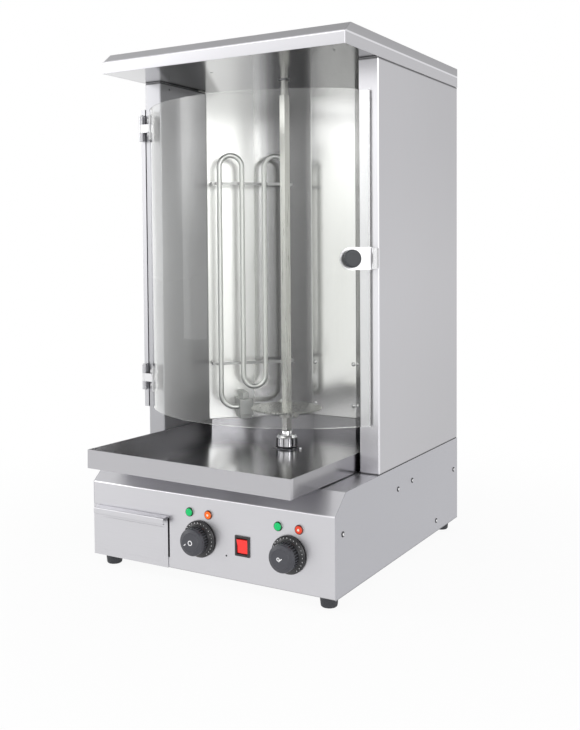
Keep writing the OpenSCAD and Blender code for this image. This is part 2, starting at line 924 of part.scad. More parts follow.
// A strap that ties the legs together and stands off the reflector
module element_strap(z) {
    strap_t = 1.5;
    strap_h = 5;
    y = tube_d / 2;
    over = 12;
    color(bright_steel)
        element_frame()
            translate([0, 0, z]) {
                translate([leg_xs[0] - over, y, -strap_h / 2])
                    cube([leg_xs[3] - leg_xs[0] + 2 * over, strap_t, strap_h]);
                for (x = [leg_xs[0] - over, leg_xs[3] + over])
                    translate([x - 2, y, -strap_h / 2]) cube([4, tube_off - y, strap_h]);
                for (x = leg_xs)
                    translate([x, 0, -strap_h / 2])
                        difference() {
                            cylinder(d = tube_d + 3, h = strap_h);
                            translate([0, 0, -1])
                                cylinder(d = tube_d + 2 * run_gap, h = strap_h + 2);
                            translate([-tube_d, -2 * tube_d, -1])
                                cube([2 * tube_d, 2 * tube_d - 1, strap_h + 2]);
                            translate([-tube_d, y + strap_t / 2, -1])
                                cube([2 * tube_d, tube_d, strap_h + 2]);
                        }
            }
}

module element_strap_upper() {
    element_strap(strap_high_z);
}

module element_strap_lower() {
    element_strap(strap_low_z);
}

// ---- Controls ------------------------------------------------------------

spindle_d = 6;
knob_gap = 2;

module thermostat(x) {
    body = [42, 26, 40];
    plate_t = 2;
    y0 = front_y + sheet;
    color([0.82, 0.8, 0.74])
        difference() {
            union() {
                translate([x - body[0] / 2 - 6, y0, base_z + knob_z - 10])
                    cube([body[0] + 12, plate_t, 20]);
                translate([x - body[0] / 2, y0 + plate_t, base_z + knob_z - body[2] / 2])
                    cube(body);
                rod_y(x, base_z + knob_z, nose_d, front_y, y0 + 1);
            }
            rod_y(x, base_z + knob_z, spindle_d + 2 * run_gap, front_y - 1, y0 + plate_t + body[1] + 1);
        }
}

module thermostat_left() {
    thermostat(knob_xs[0]);
}

module thermostat_right() {
    thermostat(knob_xs[1]);
}

module spindle(x) {
    color(bright_steel)
        rod_y(x, base_z + knob_z, spindle_d, front_y - knob_l + 6, front_y + sheet + 20);
}

module spindle_left() {
    spindle(knob_xs[0]);
}

module spindle_right() {
    spindle(knob_xs[1]);
}

// A control knob: a wide numbered skirt behind a fluted grip
module control_knob(x) {
    skirt_t = 3;
    step_t = 4;
    edge = 1.5;
    flutes = 24;
    flute_d = 2.6;
    h = knob_l - knob_gap;
    color(dark_plastic)
        translate([x, front_y - knob_gap, base_z + knob_z])
            rotate([90, 0, 0])
                difference() {
                    rotate_extrude($fn = 72)
                        polygon([
                            [0, 0], [skirt_d / 2 - 0.6, 0], [skirt_d / 2, 0.8],
                            [skirt_d / 2 - 1, skirt_t], [grip_d / 2 + 3, skirt_t + 1.6],
                            [grip_d / 2 + 2, skirt_t + step_t],
                            [grip_d / 2, skirt_t + step_t + 1], [grip_d / 2 - 0.6, h - edge],
                            [grip_d / 2 - 0.6 - edge, h], [0, h]
                        ]);
                    for (i = [0 : flutes - 1])
                        rotate([0, 0, i * 360 / flutes])
                            translate([grip_d / 2 + 0.5, 0, skirt_t + step_t + 1])
                                cylinder(d = flute_d, h = h, $fn = 16);
                    translate([0, 0, -1]) cylinder(d = spindle_d, h = h - 6 + knob_gap - 1);
                }
}

module knob_left() {
    control_knob(knob_xs[0]);
}

module knob_right() {
    control_knob(knob_xs[1]);
}

lamp_rim_h = 1.6;
lens_d = 12;

module lamp_rims() {
    color(dark_plastic)
        for (x = lamp_xs)
            translate([x, front_y, base_z + lamp_z])
                rotate([90, 0, 0])
                    rotate_extrude()
                        polygon([
                            [lens_d / 2 + 0.1, 0], [lamp_d / 2, 0], [lamp_d / 2, 0.8],
                            [lamp_d / 2 - 0.8, lamp_rim_h], [lens_d / 2 + 0.1, lamp_rim_h]
                        ]);
}

// A lamp: a domed lens in front, its body and two tags behind the panel
module lamp(i, tint) {
    body_l = 16;
    dome = 2.6;
    color(tint)
        translate([lamp_xs[i], front_y, base_z + lamp_z])
            rotate([90, 0, 0]) {
                rotate_extrude()
                    polygon([
                        [0, 0], [lens_d / 2, 0], [lens_d / 2, lamp_rim_h],
                        for (k = [1 : 5])
                            [lens_d / 2 * cos(k * 18), lamp_rim_h + dome * sin(k * 18)]
                    ]);
                translate([0, 0, -sheet - body_l]) cylinder(d = lamp_body_d, h = sheet + body_l);
                translate([0, 0, -sheet - 3]) cylinder(d = lamp_body_d + 3, h = 3, $fn = 6);
            }
}

module lamp_green_left() {
    lamp(0, "limegreen");
}

module lamp_orange_left() {
    lamp(1, "orangered");
}

module lamp_green_right() {
    lamp(2, "limegreen");
}

module lamp_red_right() {
    lamp(3, "crimson");
}

rocker_w = switch_w - 7;
rocker_h = switch_h - 8;
rim_t = 2;
rocker_gap = 0.4;
rocker_pin_d = 3;
rocker_pin_l = 1;
rocker_pin_in = 3; // from the panel's face to the pin's axis

module switch_frame() {
    body_l = 22;
    w = switch_w - switch_body_gap - 0.4;
    h = switch_h - switch_body_gap - 0.4;
    color(dark_plastic)
        translate([switch_x, front_y, switch_z])
            rotate([90, 0, 0])
                difference() {
                    union() {
                        translate([0, 0, rim_t / 2])
                            cube([switch_w, switch_h, rim_t], center = true);
                        translate([0, 0, -body_l / 2]) cube([w, h, body_l], center = true);
                    }
                    translate([0, 0, rim_t])
                        cube([rocker_w + 2 * rocker_gap, rocker_h + 1.6, 2 * (rim_t + 10)],
                             center = true);
                    translate([0, 0, -rocker_pin_in])
                        rotate([0, 90, 0])
                            cylinder(d = rocker_pin_d + 2 * run_gap,
                                     h = rocker_w + 2 * (rocker_gap + rocker_pin_l + run_gap),
                                     center = true);
                }
}

// The rocker: a shallow V seen from the side, turned to its "off" side, with
// a pin at each end
module switch_rocker() {
    crest = 3.4;
    depth = 4;
    face = -rocker_pin_in - rim_t + 0.6;
    color("red")
        translate([switch_x, front_y + rocker_pin_in, switch_z])
            rotate([rocker_turn / 2, 0, 0])
                rotate([90, 0, 90]) {
                    translate([0, 0, -rocker_w / 2])
                        linear_extrude(rocker_w)
                            polygon([
                                [face, -rocker_h / 2 + 0.8], [face + crest / 3, 0],
                                [face, rocker_h / 2 - 0.8],
                                [depth, rocker_h / 3], [depth, -rocker_h / 3]
                            ]);
                    cylinder(d = rocker_pin_d, h = rocker_w + 2 * (rocker_gap + rocker_pin_l),
                             center = true);
                }
}

// ---- Glass door ----------------------------------------------------------

// The glass is an arc round an upright axis. Its ends stop in front of the
// columns' inner halves, so the arc's place follows from its radius.
glass_half = inner_x + column_w * 0.635;
glass_turn = asin(glass_half / glass_r);
glass_axis_y = cabinet_y - glass_gap + (glass_r - glass_t) * cos(glass_turn);
hinge_x = -half_w - 4;
hinge_y = cabinet_y - 6;
clamp_t = 2;
clamp_h = 44;
clamp_turn = 6;
upper_hinge_z = glass_z + glass_h - 52;
lower_hinge_z = glass_z + 28;
hinge_zs = [lower_hinge_z, upper_hinge_z];
knuckle_d = pin_d + 4;
knuckle_h = clamp_h / 3;
door_turn = glass_turn - pull_in / glass_r * 180 / PI;
plate_h = 35;
plate_t = 1.5;
bolt_d = 5;

// An upright arc between two radii, turned from the front by two angles,
// which grow towards the right
module arc_wall(r0, r1, a0, a1, z, h) {
    translate([0, glass_axis_y, z])
        rotate([0, 0, -90 + a0])
            rotate_extrude(angle = a1 - a0, $fn = 180)
                translate([r0, 0]) square([r1 - r0, h]);
}

// A place on the glass's outer face: +Y points away from the door's axis
module on_glass(turn, z, r) {
    translate([0, glass_axis_y, z])
        rotate([0, 0, turn])
            translate([0, -r, 0]) children();
}

clamp_bolts = [for (z = hinge_zs, dz = [10, clamp_h - 10]) z + dz];
clamp_bolt_turn = -glass_turn + clamp_turn * 0.62;

module glass_panel() {
    hole_d = bolt_d + 2;
    color([0.8, 0.88, 0.86, 0.35])
        difference() {
            arc_wall(glass_r - glass_t, glass_r, -glass_turn, glass_turn, glass_z, glass_h);
            on_glass(door_turn, glass_z + knob_up, glass_r)
                rod_y(0, 0, hole_d, -2, glass_t + 2);
            for (z = clamp_bolts)
                on_glass(clamp_bolt_turn, z, glass_r) rod_y(0, 0, hole_d, -2, glass_t + 2);
        }
}

module hinge_angle() {
    leaf = 18;
    wing = 8.5;
    t = 1.5;
    web = 5;
    z0 = glass_z - 3;
    z1 = glass_z + glass_h + 4;
    color(bright_steel)
        difference() {
            union() {
                translate([-half_w - t, cabinet_y - 1, z0]) cube([t, leaf, z1 - z0]);
                translate([-half_w - wing, cabinet_y - 1, z0]) cube([wing, t, z1 - z0]);
                for (z = hinge_zs, k = [0, 2])
                    translate([hinge_x, hinge_y, z + k * knuckle_h]) {
                        cylinder(d = knuckle_d, h = knuckle_h - near_gap);
                        translate([-web / 2, 0, 0])
                            cube([web, cabinet_y - 1 - hinge_y, knuckle_h - near_gap]);
                    }
            }
            for (z = hinge_zs)
                translate([hinge_x, hinge_y, z - 1]) cylinder(d = pin_d + 2 * run_gap, h = clamp_h + 2);
        }
}

module hinge_pins() {
    head_h = 2;
    color(bright_steel)
        for (z = hinge_zs)
            translate([hinge_x, hinge_y, z]) {
                cylinder(d = pin_d, h = clamp_h);
                translate([0, 0, clamp_h]) cylinder(d = pin_d + 2, h = head_h);
            }
}

// The door's clamps: a plate on each side of the glass, two bolts and the
// knuckle that turns on the pin
module hinge_clamps() {
    a0 = -glass_turn;
    a1 = -glass_turn + clamp_turn;
    arm = 4;
    end_x = glass_r * sin(a0);
    color(bright_steel)
        for (z = hinge_zs)
            difference() {
                union() {
                    arc_wall(glass_r, glass_r + clamp_t, a0, a1, z, clamp_h);
                    arc_wall(glass_r - glass_t - clamp_t, glass_r - glass_t, a0 + 1, a1, z, clamp_h);
                    for (dz = [10, clamp_h - 10])
                        on_glass(clamp_bolt_turn, z + dz, glass_r) {
                            rod_y(0, 0, bolt_d, -clamp_t - 2, glass_t + clamp_t + 2);
                            rod_y(0, 0, bolt_d + 4, -clamp_t - 2.4, -clamp_t + 0.4);
                            rod_y(0, 0, bolt_d + 4, glass_t + clamp_t - 0.4, glass_t + clamp_t + 2.4);
                        }
                    translate([hinge_x, hinge_y, z + knuckle_h])
                        cylinder(d = knuckle_d, h = knuckle_h - near_gap);
                    difference() {
                        translate([hinge_x, hinge_y - arm, z + knuckle_h])
                            cube([end_x - hinge_x + 3, arm, knuckle_h - near_gap]);
                        translate([0, glass_axis_y, z]) cylinder(r = glass_r, h = clamp_h, $fn = 180);
                    }
                }
                translate([hinge_x, hinge_y, z - 1])
                    cylinder(d = pin_d + 2 * run_gap, h = clamp_h + 2);
            }
}

// The pull's plate: straight towards the door's edge, round at its other end
module door_plate() {
    reach = pull_in + 1;
    sag = plate_h * plate_h / (8 * glass_r);
    color(bright_steel)
        on_glass(door_turn, glass_z + knob_up, glass_r + near_gap)
            difference() {
                rotate([90, 0, 0])
                    linear_extrude(plate_t)
                        union() {
                            circle(d = plate_h);
                            translate([0, -plate_h / 2]) square([reach, plate_h]);
                        }
                rod_y(0, 0, bolt_d + 0.2, -plate_t - 1 - sag, 1);
            }
}

module door_washers() {
    washer_t = 2;
    head_h = 4;
    color(rubber)
        on_glass(door_turn, glass_z + knob_up, glass_r - glass_t - near_gap) {
            difference() {
                rod_y(0, 0, 22, 0, washer_t);
                rod_y(0, 0, bolt_d + 0.2, -1, washer_t + 1);
            }
            rod_y(0, 0, 9, washer_t, washer_t + head_h);
        }
}

module door_knob() {
    neck_d = 14;
    neck_h = 3;
    edge = 3;
    h = 12;
    out = near_gap + plate_t;
    color(dark_plastic)
        on_glass(door_turn, glass_z + knob_up, glass_r + out)
            rotate([90, 0, 0]) {
                rotate_extrude($fn = 64)
                    polygon([
                        [0, 0], [neck_d / 2, 0], [neck_d / 2, neck_h],
                        [door_knob_d / 2 - 2, neck_h + 1], [door_knob_d / 2, neck_h + 3],
                        for (k = [0 : 4])
                            [door_knob_d / 2 - edge + edge * cos(k * 22.5),
                             h - edge + edge * sin(k * 22.5)],
                        [0, h]
                    ]);
                translate([0, 0, -out - glass_t - near_gap - 2])
                    cylinder(d = bolt_d, h = out + glass_t + near_gap + 2);
            }
}

// The catch on the right column: a small spring clip beside the door's plate
module door_catch() {
    w = 6.5;
    h = 32;
    t = 1;
    d = 9;
    x = glass_half + 5.6;
    path = rounded([
        [x + w, cabinet_y - t], [x, cabinet_y - t], [x, cabinet_y - d],
        [x + w * 0.6, cabinet_y - d], [x + w, cabinet_y - d + 4]
    ], 1.5);
    color(bright_steel)
        translate([0, 0, glass_z + knob_up - h / 2])
            linear_extrude(h) fold(path, -t);
}

// ---- Drip tray -----------------------------------------------------------

tray_half = tray_w / 2;
// The rear corners are cut at 45 degrees, beside the reflector's panels
tray_back_y = reflector_y - tray_gap;
tray_side_y = inner_end_y + sheet + (reflector_x - tray_half) - tray_gap * sqrt(2);
tray_corner = tray_back_y - tray_side_y;
tray_plan = [
    [-tray_half, front_y - tray_out], [-tray_half, tray_side_y],
    [-tray_half + tray_corner, tray_back_y], [tray_half - tray_corner, tray_back_y],
    [tray_half, tray_side_y], [tray_half, front_y - tray_out]
];

// Lays the loose tray down: turned, and tipped to the right and the back
module lay_tray() {
    translate([0, spit_y, deck_z + tray_rest])
        rotate([-tray_pitch, tray_lean, -tray_turn]) children();
}

module drip_tray() {
    inner = [for (i = [0 : len(tray_plan) - 1])
        let (n = len(tray_plan), p = [tray_plan[(i + n - 1) % n], tray_plan[i], tray_plan[(i + 1) % n]])
        side_point(p, 1, -tray_sheet)];
    hole_d = socket_d + 5;
    color([0.62, 0.62, 0.66])
        lay_tray()
            difference() {
                translate([0, -spit_y, 0]) linear_extrude(tray_h) polygon(tray_plan);
                translate([0, -spit_y, tray_sheet]) linear_extrude(tray_h) polygon(inner);
                translate([0, 0, -1]) cylinder(d = hole_d, h = tray_sheet + 2);
            }
}

// A ring round the tray's hole, which keeps the fat off the shaft
module tray_ring() {
    color(bright_steel)
        lay_tray()
            translate([0, 0, tray_sheet])
                rotate_extrude()
                    polygon([
                        [socket_d / 2 + 1.5, -tray_sheet], [socket_d / 2 + 2.4, -tray_sheet],
                        [socket_d / 2 + 2.4, 0], [ring_d / 2, 0], [ring_d / 2, 1],
                        [socket_d / 2 + 4, ring_t], [socket_d / 2 + 1.5, ring_t]
                    ]);
}

// ---- Inside and fasteners ------------------------------------------------

module terminal_board() {
    ways = 5;
    way_w = 14;
    board_d = 24;
    board_h = 20;
    from_side = 50;
    from_back = 56;
    slot = 1.5;
    color("ivory")
        translate([half_w - from_side - ways * way_w, back_y - from_back - board_d, base_z + sheet])
            difference() {
                cube([ways * way_w, board_d, board_h]);
                for (i = [0 : ways - 1])
                    translate([(i + 0.5) * way_w, 7, board_h * 0.3]) cylinder(d = way_w / 2, h = board_h);
                for (i = [1 : ways - 1])
                    translate([i * way_w - slot / 2, -1, board_h / 2]) cube([slot, board_d + 2, board_h]);
            }
}

// A pan-head screw along Z: the head on top, the shank below
module screw(d, head_d, l) {
    rotate_extrude($fn = 24)
        polygon([
            [0, 0], [head_d / 2, 0], [head_d / 2, 0.8], [head_d / 3, 1.8], [0, 2.1]
        ]);
    translate([0, 0, -l]) cylinder(d = d, h = l, $fn = 24);
}

module side_screws() {
    color(bright_steel)
        both_sides()
            for (p = side_screw_at)
                translate([half_w, front_y + p[0], base_z + p[1]])
                    rotate([0, 90, 0]) screw(side_screw_d, side_head_d, 6);
}

back_screw_at = [
    for (sx = [-1, 1], z = [0.04, 0.35, 0.65, 0.96])
        [sx * (cover_w / 2 - 3.5), cover_z0 + cover_h * z]
];

module back_screws() {
    color(bright_steel)
        for (p = back_screw_at)
            translate([p[0], back_y + sheet, p[1]])
                rotate([-90, 0, 0]) screw(side_screw_d, side_head_d - 1, sheet);
}

base_pan();
base_side_left();
base_side_right();
front_panel();
base_back();
feet();
foot_screws();
drawer_rails();
drawer_box();
drawer_front();
cabinet_side_left();
cabinet_side_right();
cabinet_back();
reflector();
reflector_rivets();
hood_shell();
hood_liner();
spit_top_bush();
spit_rod();
spit_disc();
drive_socket();
drive_shaft();
deck_bush();
gearbox();
drive_motor();
motor_bracket();
heating_tube();
element_terminal();
element_strap_upper();
element_strap_lower();
thermostat_left();
thermostat_right();
spindle_left();
spindle_right();
knob_left();
knob_right();
lamp_rims();
lamp_green_left();
lamp_orange_left();
lamp_green_right();
lamp_red_right();
switch_frame();
switch_rocker();
glass_panel();
hinge_angle();
hinge_clamps();
hinge_pins();
door_plate();
door_washers();
door_knob();
door_catch();
drip_tray();
tray_ring();
cable_gland();
terminal_board();
side_screws();
back_screws();
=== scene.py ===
"""Finishes, lights and small details of a vertical skewer grill, laid out as an add-on."""

import math

import bmesh
import bpy
from bpy.props import FloatProperty, FloatVectorProperty, IntProperty, PointerProperty
from bpy.types import Operator, Panel, PropertyGroup
from mathutils import Matrix, Vector


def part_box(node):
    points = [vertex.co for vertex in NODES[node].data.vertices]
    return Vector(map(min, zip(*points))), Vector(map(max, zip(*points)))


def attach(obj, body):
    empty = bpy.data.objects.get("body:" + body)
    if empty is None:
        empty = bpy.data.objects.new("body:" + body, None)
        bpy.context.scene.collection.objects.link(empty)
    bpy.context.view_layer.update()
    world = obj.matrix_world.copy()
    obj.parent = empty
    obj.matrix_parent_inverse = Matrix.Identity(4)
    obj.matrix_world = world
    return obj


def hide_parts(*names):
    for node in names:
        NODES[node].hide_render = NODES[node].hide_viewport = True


bl_info = {
    "name": "Skewer grill",
    "version": (1, 0, 0),
    "blender": (4, 5, 0),
    "location": "View3D > Sidebar > Grill",
    "description": "Gives the packed grill its finishes, its small details and a studio",
    "category": "Object",
}

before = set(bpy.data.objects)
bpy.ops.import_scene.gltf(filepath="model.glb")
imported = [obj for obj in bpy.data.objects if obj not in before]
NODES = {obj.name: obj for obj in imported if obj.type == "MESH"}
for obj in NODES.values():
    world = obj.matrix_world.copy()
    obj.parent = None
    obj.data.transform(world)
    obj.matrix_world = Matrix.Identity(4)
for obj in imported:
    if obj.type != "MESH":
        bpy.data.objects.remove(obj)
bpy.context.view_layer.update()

MM = 0.001
UP = (0, 0, 1)
TO_FRONT = (0, -1, 0)

# The spit's axis, the deck's upper face and the outer face of the base's sides, in metres
SPIT_Y = 24.5 * MM
DECK_Z = 168 * MM
SIDE_X = 225 * MM


# ---- Sizes and colours -----------------------------------------------------


def tint(name, description, default):
    """A colour that the user can change."""
    return FloatVectorProperty(
        name=name, description=description, default=default, subtype="COLOR", size=3, min=0, max=1
    )


def length(name, description, default):
    """A size in metres that the user can change."""
    return FloatProperty(
        name=name, description=description, default=default, unit="LENGTH", min=0, precision=4
    )


def factor(name, description, default, high=1.0):
    """A share or a level that the user can change."""
    return FloatProperty(
        name=name, description=description, default=default, subtype="FACTOR", min=0, max=high
    )


def power(name, description, default):
    """A lamp's power in watts."""
    return FloatProperty(name=name, description=description, default=default, unit="POWER", min=0)


def count(name, description, default, low, high):
    """A number of like parts."""
    return IntProperty(name=name, description=description, default=default, min=low, max=high)


class GrillSheetSettings(PropertyGroup):
    """Colours and gloss of the steel sheet"""

    satin: tint("Satin sheet", "Colour of the outer sheet", (0.66, 0.655, 0.68))
    satin_rough: factor("Satin roughness", "Roughness of the outer sheet", 0.36)
    # The base's sides are a darker copy of the satin sheet: painted shade
    base_side: tint("Base sides", "Colour of the base's two sides", (0.50, 0.50, 0.53))
    # The cabinet's left side is a darker copy of the satin sheet: painted shade
    left_side_painted_shade: tint("Left side", "Colour of the cabinet's left side", (0.49, 0.49, 0.51))
    polished: tint("Polished sheet", "Colour of the reflector", (0.84, 0.84, 0.83))
    polished_rough: factor("Polish", "Roughness of the reflector", 0.15)
    liner: tint("Liner", "Colour of the plate under the hood", (0.66, 0.66, 0.67))
    liner_rough: factor("Liner roughness", "Roughness of the plate under the hood", 0.16)
    tray: tint("Tray", "Colour of the drip tray", (0.50, 0.495, 0.515))
    tray_rough: factor("Tray roughness", "Roughness of the drip tray", 0.19)
    hem: tint("Tray hem", "Colour of the tray's rolled edge", (0.66, 0.66, 0.68))
    hem_rough: factor("Hem roughness", "Roughness of the tray's rolled edge", 0.34)


class GrillFittingSettings(PropertyGroup):
    """Colours of the smaller metal pieces"""

    hinge: tint("Hinge angle", "Colour of the long hinge angle", (0.54, 0.54, 0.56))
    clamp: tint("Clamps", "Colour of the glass clamps and the hinge pins", (0.72, 0.72, 0.73))
    plate: tint("Pull plate", "Colour of the plate behind the door's knob", (0.82, 0.82, 0.83))
    spit: tint("Spit", "Colour of the spit and its disc", (0.50, 0.50, 0.475))
    plating: tint("Plating", "Colour of the bright plated pieces", (0.80, 0.80, 0.81))
    socket: tint("Socket", "Colour of the drive socket and the stud", (0.82, 0.82, 0.83))
    washer: tint("Washer", "Colour of the lobed washer in the tray", (0.13, 0.13, 0.14))
    screw: tint("Screws", "Colour of the side screws", (0.78, 0.78, 0.79))
    sheath: tint("Heating tube", "Colour of the heating tube", (0.80, 0.81, 0.79))
    terminal: tint("Terminal", "Colour of the element's terminal block", (0.40, 0.41, 0.40))
    strap: tint("Straps", "Colour of the element's straps", (0.42, 0.42, 0.42))


class GrillControlSettings(PropertyGroup):
    """Colours of the controls and the door's knob"""

    knob: tint("Knobs", "Colour of the control knobs", (0.048, 0.049, 0.060))
    # The grip colour is the skirt's own glossy black; on the neck between the ribs it is painted
    # shade
    grip: tint("Grip", "Colour between the knobs' ribs", (0.006, 0.006, 0.008))
    marks: tint("Marks", "Colour of the marks on the knobs", (0.85, 0.85, 0.86))
    pull: tint("Door knob", "Colour of the door's knob", (0.030, 0.033, 0.040))
    rocker: tint("Rocker", "Colour of the rocker", (0.80, 0.035, 0.03))
    green: tint("Green lamp", "Colour of the green lenses", (0.006, 0.42, 0.12))
    orange: tint("Orange lamp", "Colour of the orange lens", (0.80, 0.13, 0.01))
    red: tint("Red lamp", "Colour of the red lens", (0.62, 0.05, 0.02))


class GrillGlassSettings(PropertyGroup):
    """The door's glass"""

    glass: tint("Glass", "Colour of the curved glass", (0.972, 0.98, 0.965))


class GrillFormSettings(PropertyGroup):
    """Sizes and numbers of the small forms"""

    edge: length("Folded edge", "Rounding of the hood's edges", 1.6 * MM)
    hem: length("Hem width", "Width of the drip tray's rolled edge", 2.4 * MM)
    hem_h: length("Hem height", "Height of the drip tray's rolled edge", 5.5 * MM)
    ribs: count("Grip ribs", "Ribs round a control knob's grip", 30, 12, 60)
    ticks: count("Dial ticks", "Ticks on a control knob's skirt", 28, 8, 60)
    lobes: count("Washer lobes", "Lobes of the washer under the drive socket", 18, 8, 40)
    grooves: count("Socket grooves", "Grooves down the drive socket", 14, 6, 30)


class GrillStageSettings(PropertyGroup):
    """Light of the studio"""

    world: factor("World", "Level of the light from all round", 1.0, 3.0)
    top: power("Top light", "Power of the light above", 9.0)
    left: power("Left light", "Power of the light on the left", 8.0)


# ---- Node helpers ----------------------------------------------------------

# Sockets of a Mix node that is set to colours
MIX_SHARE, MIX_A, MIX_B, MIX_RESULT = 0, 6, 7, 2


def new_group(name, inputs, outputs):
    """A shader node group with its sockets and its two end nodes."""
    group = bpy.data.node_groups.new(name, "ShaderNodeTree")
    for label, kind, default in inputs:
        socket = group.interface.new_socket(label, in_out="INPUT", socket_type=kind)
        if default is not None:
            socket.default_value = default
    for label, kind in outputs:
        group.interface.new_socket(label, in_out="OUTPUT", socket_type=kind)
    return group, group.nodes.new("NodeGroupInput"), group.nodes.new("NodeGroupOutput")


def math_node(tree, operation, a, b=None, c=None, clamp=False):
    """A Math node on numbers and sockets; gives its result's socket."""
    node = tree.nodes.new("ShaderNodeMath")
    node.operation = operation
    node.use_clamp = clamp
    for socket, value in zip(node.inputs, (a, b, c)):
        if value is None:
            continue
        if isinstance(value, (int, float)):
            socket.default_value = value
        else:
            tree.links.new(value, socket)
    return node.outputs[0]


def colour_mix(tree, share, a, b):
    """A mix of two colours, each a socket or a plain colour; gives its result's socket."""
    node = tree.nodes.new("ShaderNodeMix")
    node.data_type = "RGBA"
    tree.links.new(share, node.inputs[MIX_SHARE])
    for index, value in ((MIX_A, a), (MIX_B, b)):
        if isinstance(value, tuple):
            node.inputs[index].default_value = value
        else:
            tree.links.new(value, node.inputs[index])
    return node.outputs[MIX_RESULT]


def shader_mix(tree, share, a, b, output):
    """A mix of two shaders, wired to the surface of an output node."""
    node = tree.nodes.new("ShaderNodeMixShader")
    for socket, value in zip(node.inputs, (share, a, b)):
        tree.links.new(value, socket)
    tree.links.new(node.outputs[0], output.inputs["Surface"])


def noise(tree, vector, scale, detail=3.0, rough=0.5):
    """A noise texture's value."""
    node = tree.nodes.new("ShaderNodeTexNoise")
    node.inputs["Scale"].default_value = scale
    node.inputs["Detail"].default_value = detail
    node.inputs["Roughness"].default_value = rough
    tree.links.new(vector, node.inputs["Vector"])
    return node.outputs["Fac"]


def ramp(tree, value, stops):
    """A soft ramp of levels, from (place, level) pairs whose places run from 0 to 1."""
    node = tree.nodes.new("ShaderNodeValToRGB")
    node.color_ramp.interpolation = "EASE"
    points = node.color_ramp.elements
    for point, (place, level) in zip(points, (stops[0], stops[-1])):
        point.position = place
        point.color = (level, level, level, 1)
    for place, level in stops[1:-1]:
        points.new(place).color = (level, level, level, 1)
    tree.links.new(value, node.inputs[0])
    return node.outputs[0]


def brushed_group():
    """Fine brush lines with a slow change of polish; the vector is already stretched."""
    name = "Brushed sheet"
    if name in bpy.data.node_groups:
        return bpy.data.node_groups[name]
    group, start, end = new_group(
        name,
        [
            ("Lines", "NodeSocketVector", None),
            ("Place", "NodeSocketVector", None),
            ("Colour", "NodeSocketColor", (0.6, 0.6, 0.6, 1)),
            ("Roughness", "NodeSocketFloat", 0.35),
            ("Line depth", "NodeSocketFloat", 0.05),
            ("Cloud depth", "NodeSocketFloat", 0.04),
        ],
        [
            ("Colour", "NodeSocketColor"),
            ("Roughness", "NodeSocketFloat"),
            ("Height", "NodeSocketFloat"),
        ],
    )
    lines = noise(group, start.outputs["Lines"], 1.0, detail=2.0)
    cloud = noise(group, start.outputs["Place"], 5.0)
    line_off = math_node(group, "SUBTRACT", lines, 0.5)
    cloud_off = math_node(group, "SUBTRACT", cloud, 0.5)
    line_part = math_node(group, "MULTIPLY", line_off, start.outputs["Line depth"])
    cloud_part = math_node(group, "MULTIPLY", cloud_off, start.outputs["Cloud depth"])
    both = math_node(group, "ADD", line_part, cloud_part)
    rough = math_node(group, "ADD", start.outputs["Roughness"], both, clamp=True)
    gain = math_node(group, "ADD", 1.0, both)
    shade = group.nodes.new("ShaderNodeVectorMath")
    shade.operation = "SCALE"
    group.links.new(start.outputs["Colour"], shade.inputs[0])
    group.links.new(gain, shade.inputs["Scale"])
    group.links.new(shade.outputs[0], end.inputs["Colour"])
    group.links.new(rough, end.inputs["Roughness"])
    group.links.new(lines, end.inputs["Height"])
    return group


DUST = (0.6, 0.6, 0.6, 1)


def grain_group():
    """The fine uneven skin of a moulding, a casting or rubber, with patches of dust."""
    name = "Moulded skin"
    if name in bpy.data.node_groups:
        return bpy.data.node_groups[name]
    group, start, end = new_group(
        name,
        [
            ("Place", "NodeSocketVector", None),
            ("Colour", "NodeSocketColor", (0.1, 0.1, 0.1, 1)),
            ("Roughness", "NodeSocketFloat", 0.45),
            ("Depth", "NodeSocketFloat", 0.1),
            ("Dust", "NodeSocketFloat", 0.03),
        ],
        [
            ("Colour", "NodeSocketColor"),
            ("Roughness", "NodeSocketFloat"),
            ("Height", "NodeSocketFloat"),
        ],
    )
    fine = noise(group, start.outputs["Place"], 1400.0, detail=2.0, rough=0.6)
    slow = noise(group, start.outputs["Place"], 40.0)
    off = math_node(group, "SUBTRACT", slow, 0.5)
    part = math_node(group, "MULTIPLY", off, start.outputs["Depth"])
    rough = math_node(group, "ADD", start.outputs["Roughness"], part, clamp=True)
    share = math_node(group, "MULTIPLY", slow, start.outputs["Dust"])
    dusty = colour_mix(group, share, start.outputs["Colour"], DUST)
    group.links.new(dusty, end.inputs["Colour"])
    group.links.new(rough, end.inputs["Roughness"])
    group.links.new(fine, end.inputs["Height"])
    return group


def blank_material(name):
    """A new material, its node tree and its shader."""
    mat = bpy.data.materials.new(name)
    mat.use_nodes = True
    shader = mat.node_tree.nodes["Principled BSDF"]
    return mat, mat.node_tree, shader


def object_vector(tree, scale=(1, 1, 1), turn=(0, 0, 0)):
    """The place on the grill in metres, turned and scaled."""
    coords = tree.nodes.new("ShaderNodeTexCoord")
    mapping = tree.nodes.new("ShaderNodeMapping")
    mapping.inputs["Scale"].default_value = scale
    mapping.inputs["Rotation"].default_value = turn
    tree.links.new(coords.outputs["Object"], mapping.inputs["Vector"])
    return mapping.outputs["Vector"]


def bump(tree, height, shader, strength, distance):
    """Raise a shader's surface a little by a height."""
    node = tree.nodes.new("ShaderNodeBump")
    node.inputs["Strength"].default_value = strength
    node.inputs["Distance"].default_value = distance
    tree.links.new(height, node.inputs["Height"])
    tree.links.new(node.outputs["Normal"], shader.inputs["Normal"])


def brush(axis, along=30, across=900):
    """Scale of brush lines that run along an axis: low along them, high across them."""
    return tuple(along if name == axis else across for name in "XYZ")


def even_grain(scale):
    """Scale of a grain that is the same every way, for turned and plated pieces."""
    return (scale, scale, scale)


BRUSHED_X, BRUSHED_Y, BRUSHED_Z = brush("X"), brush("Y"), brush("Z")
LINE_HEIGHT = 0.2 * MM
SKIN_HEIGHT = 0.05 * MM


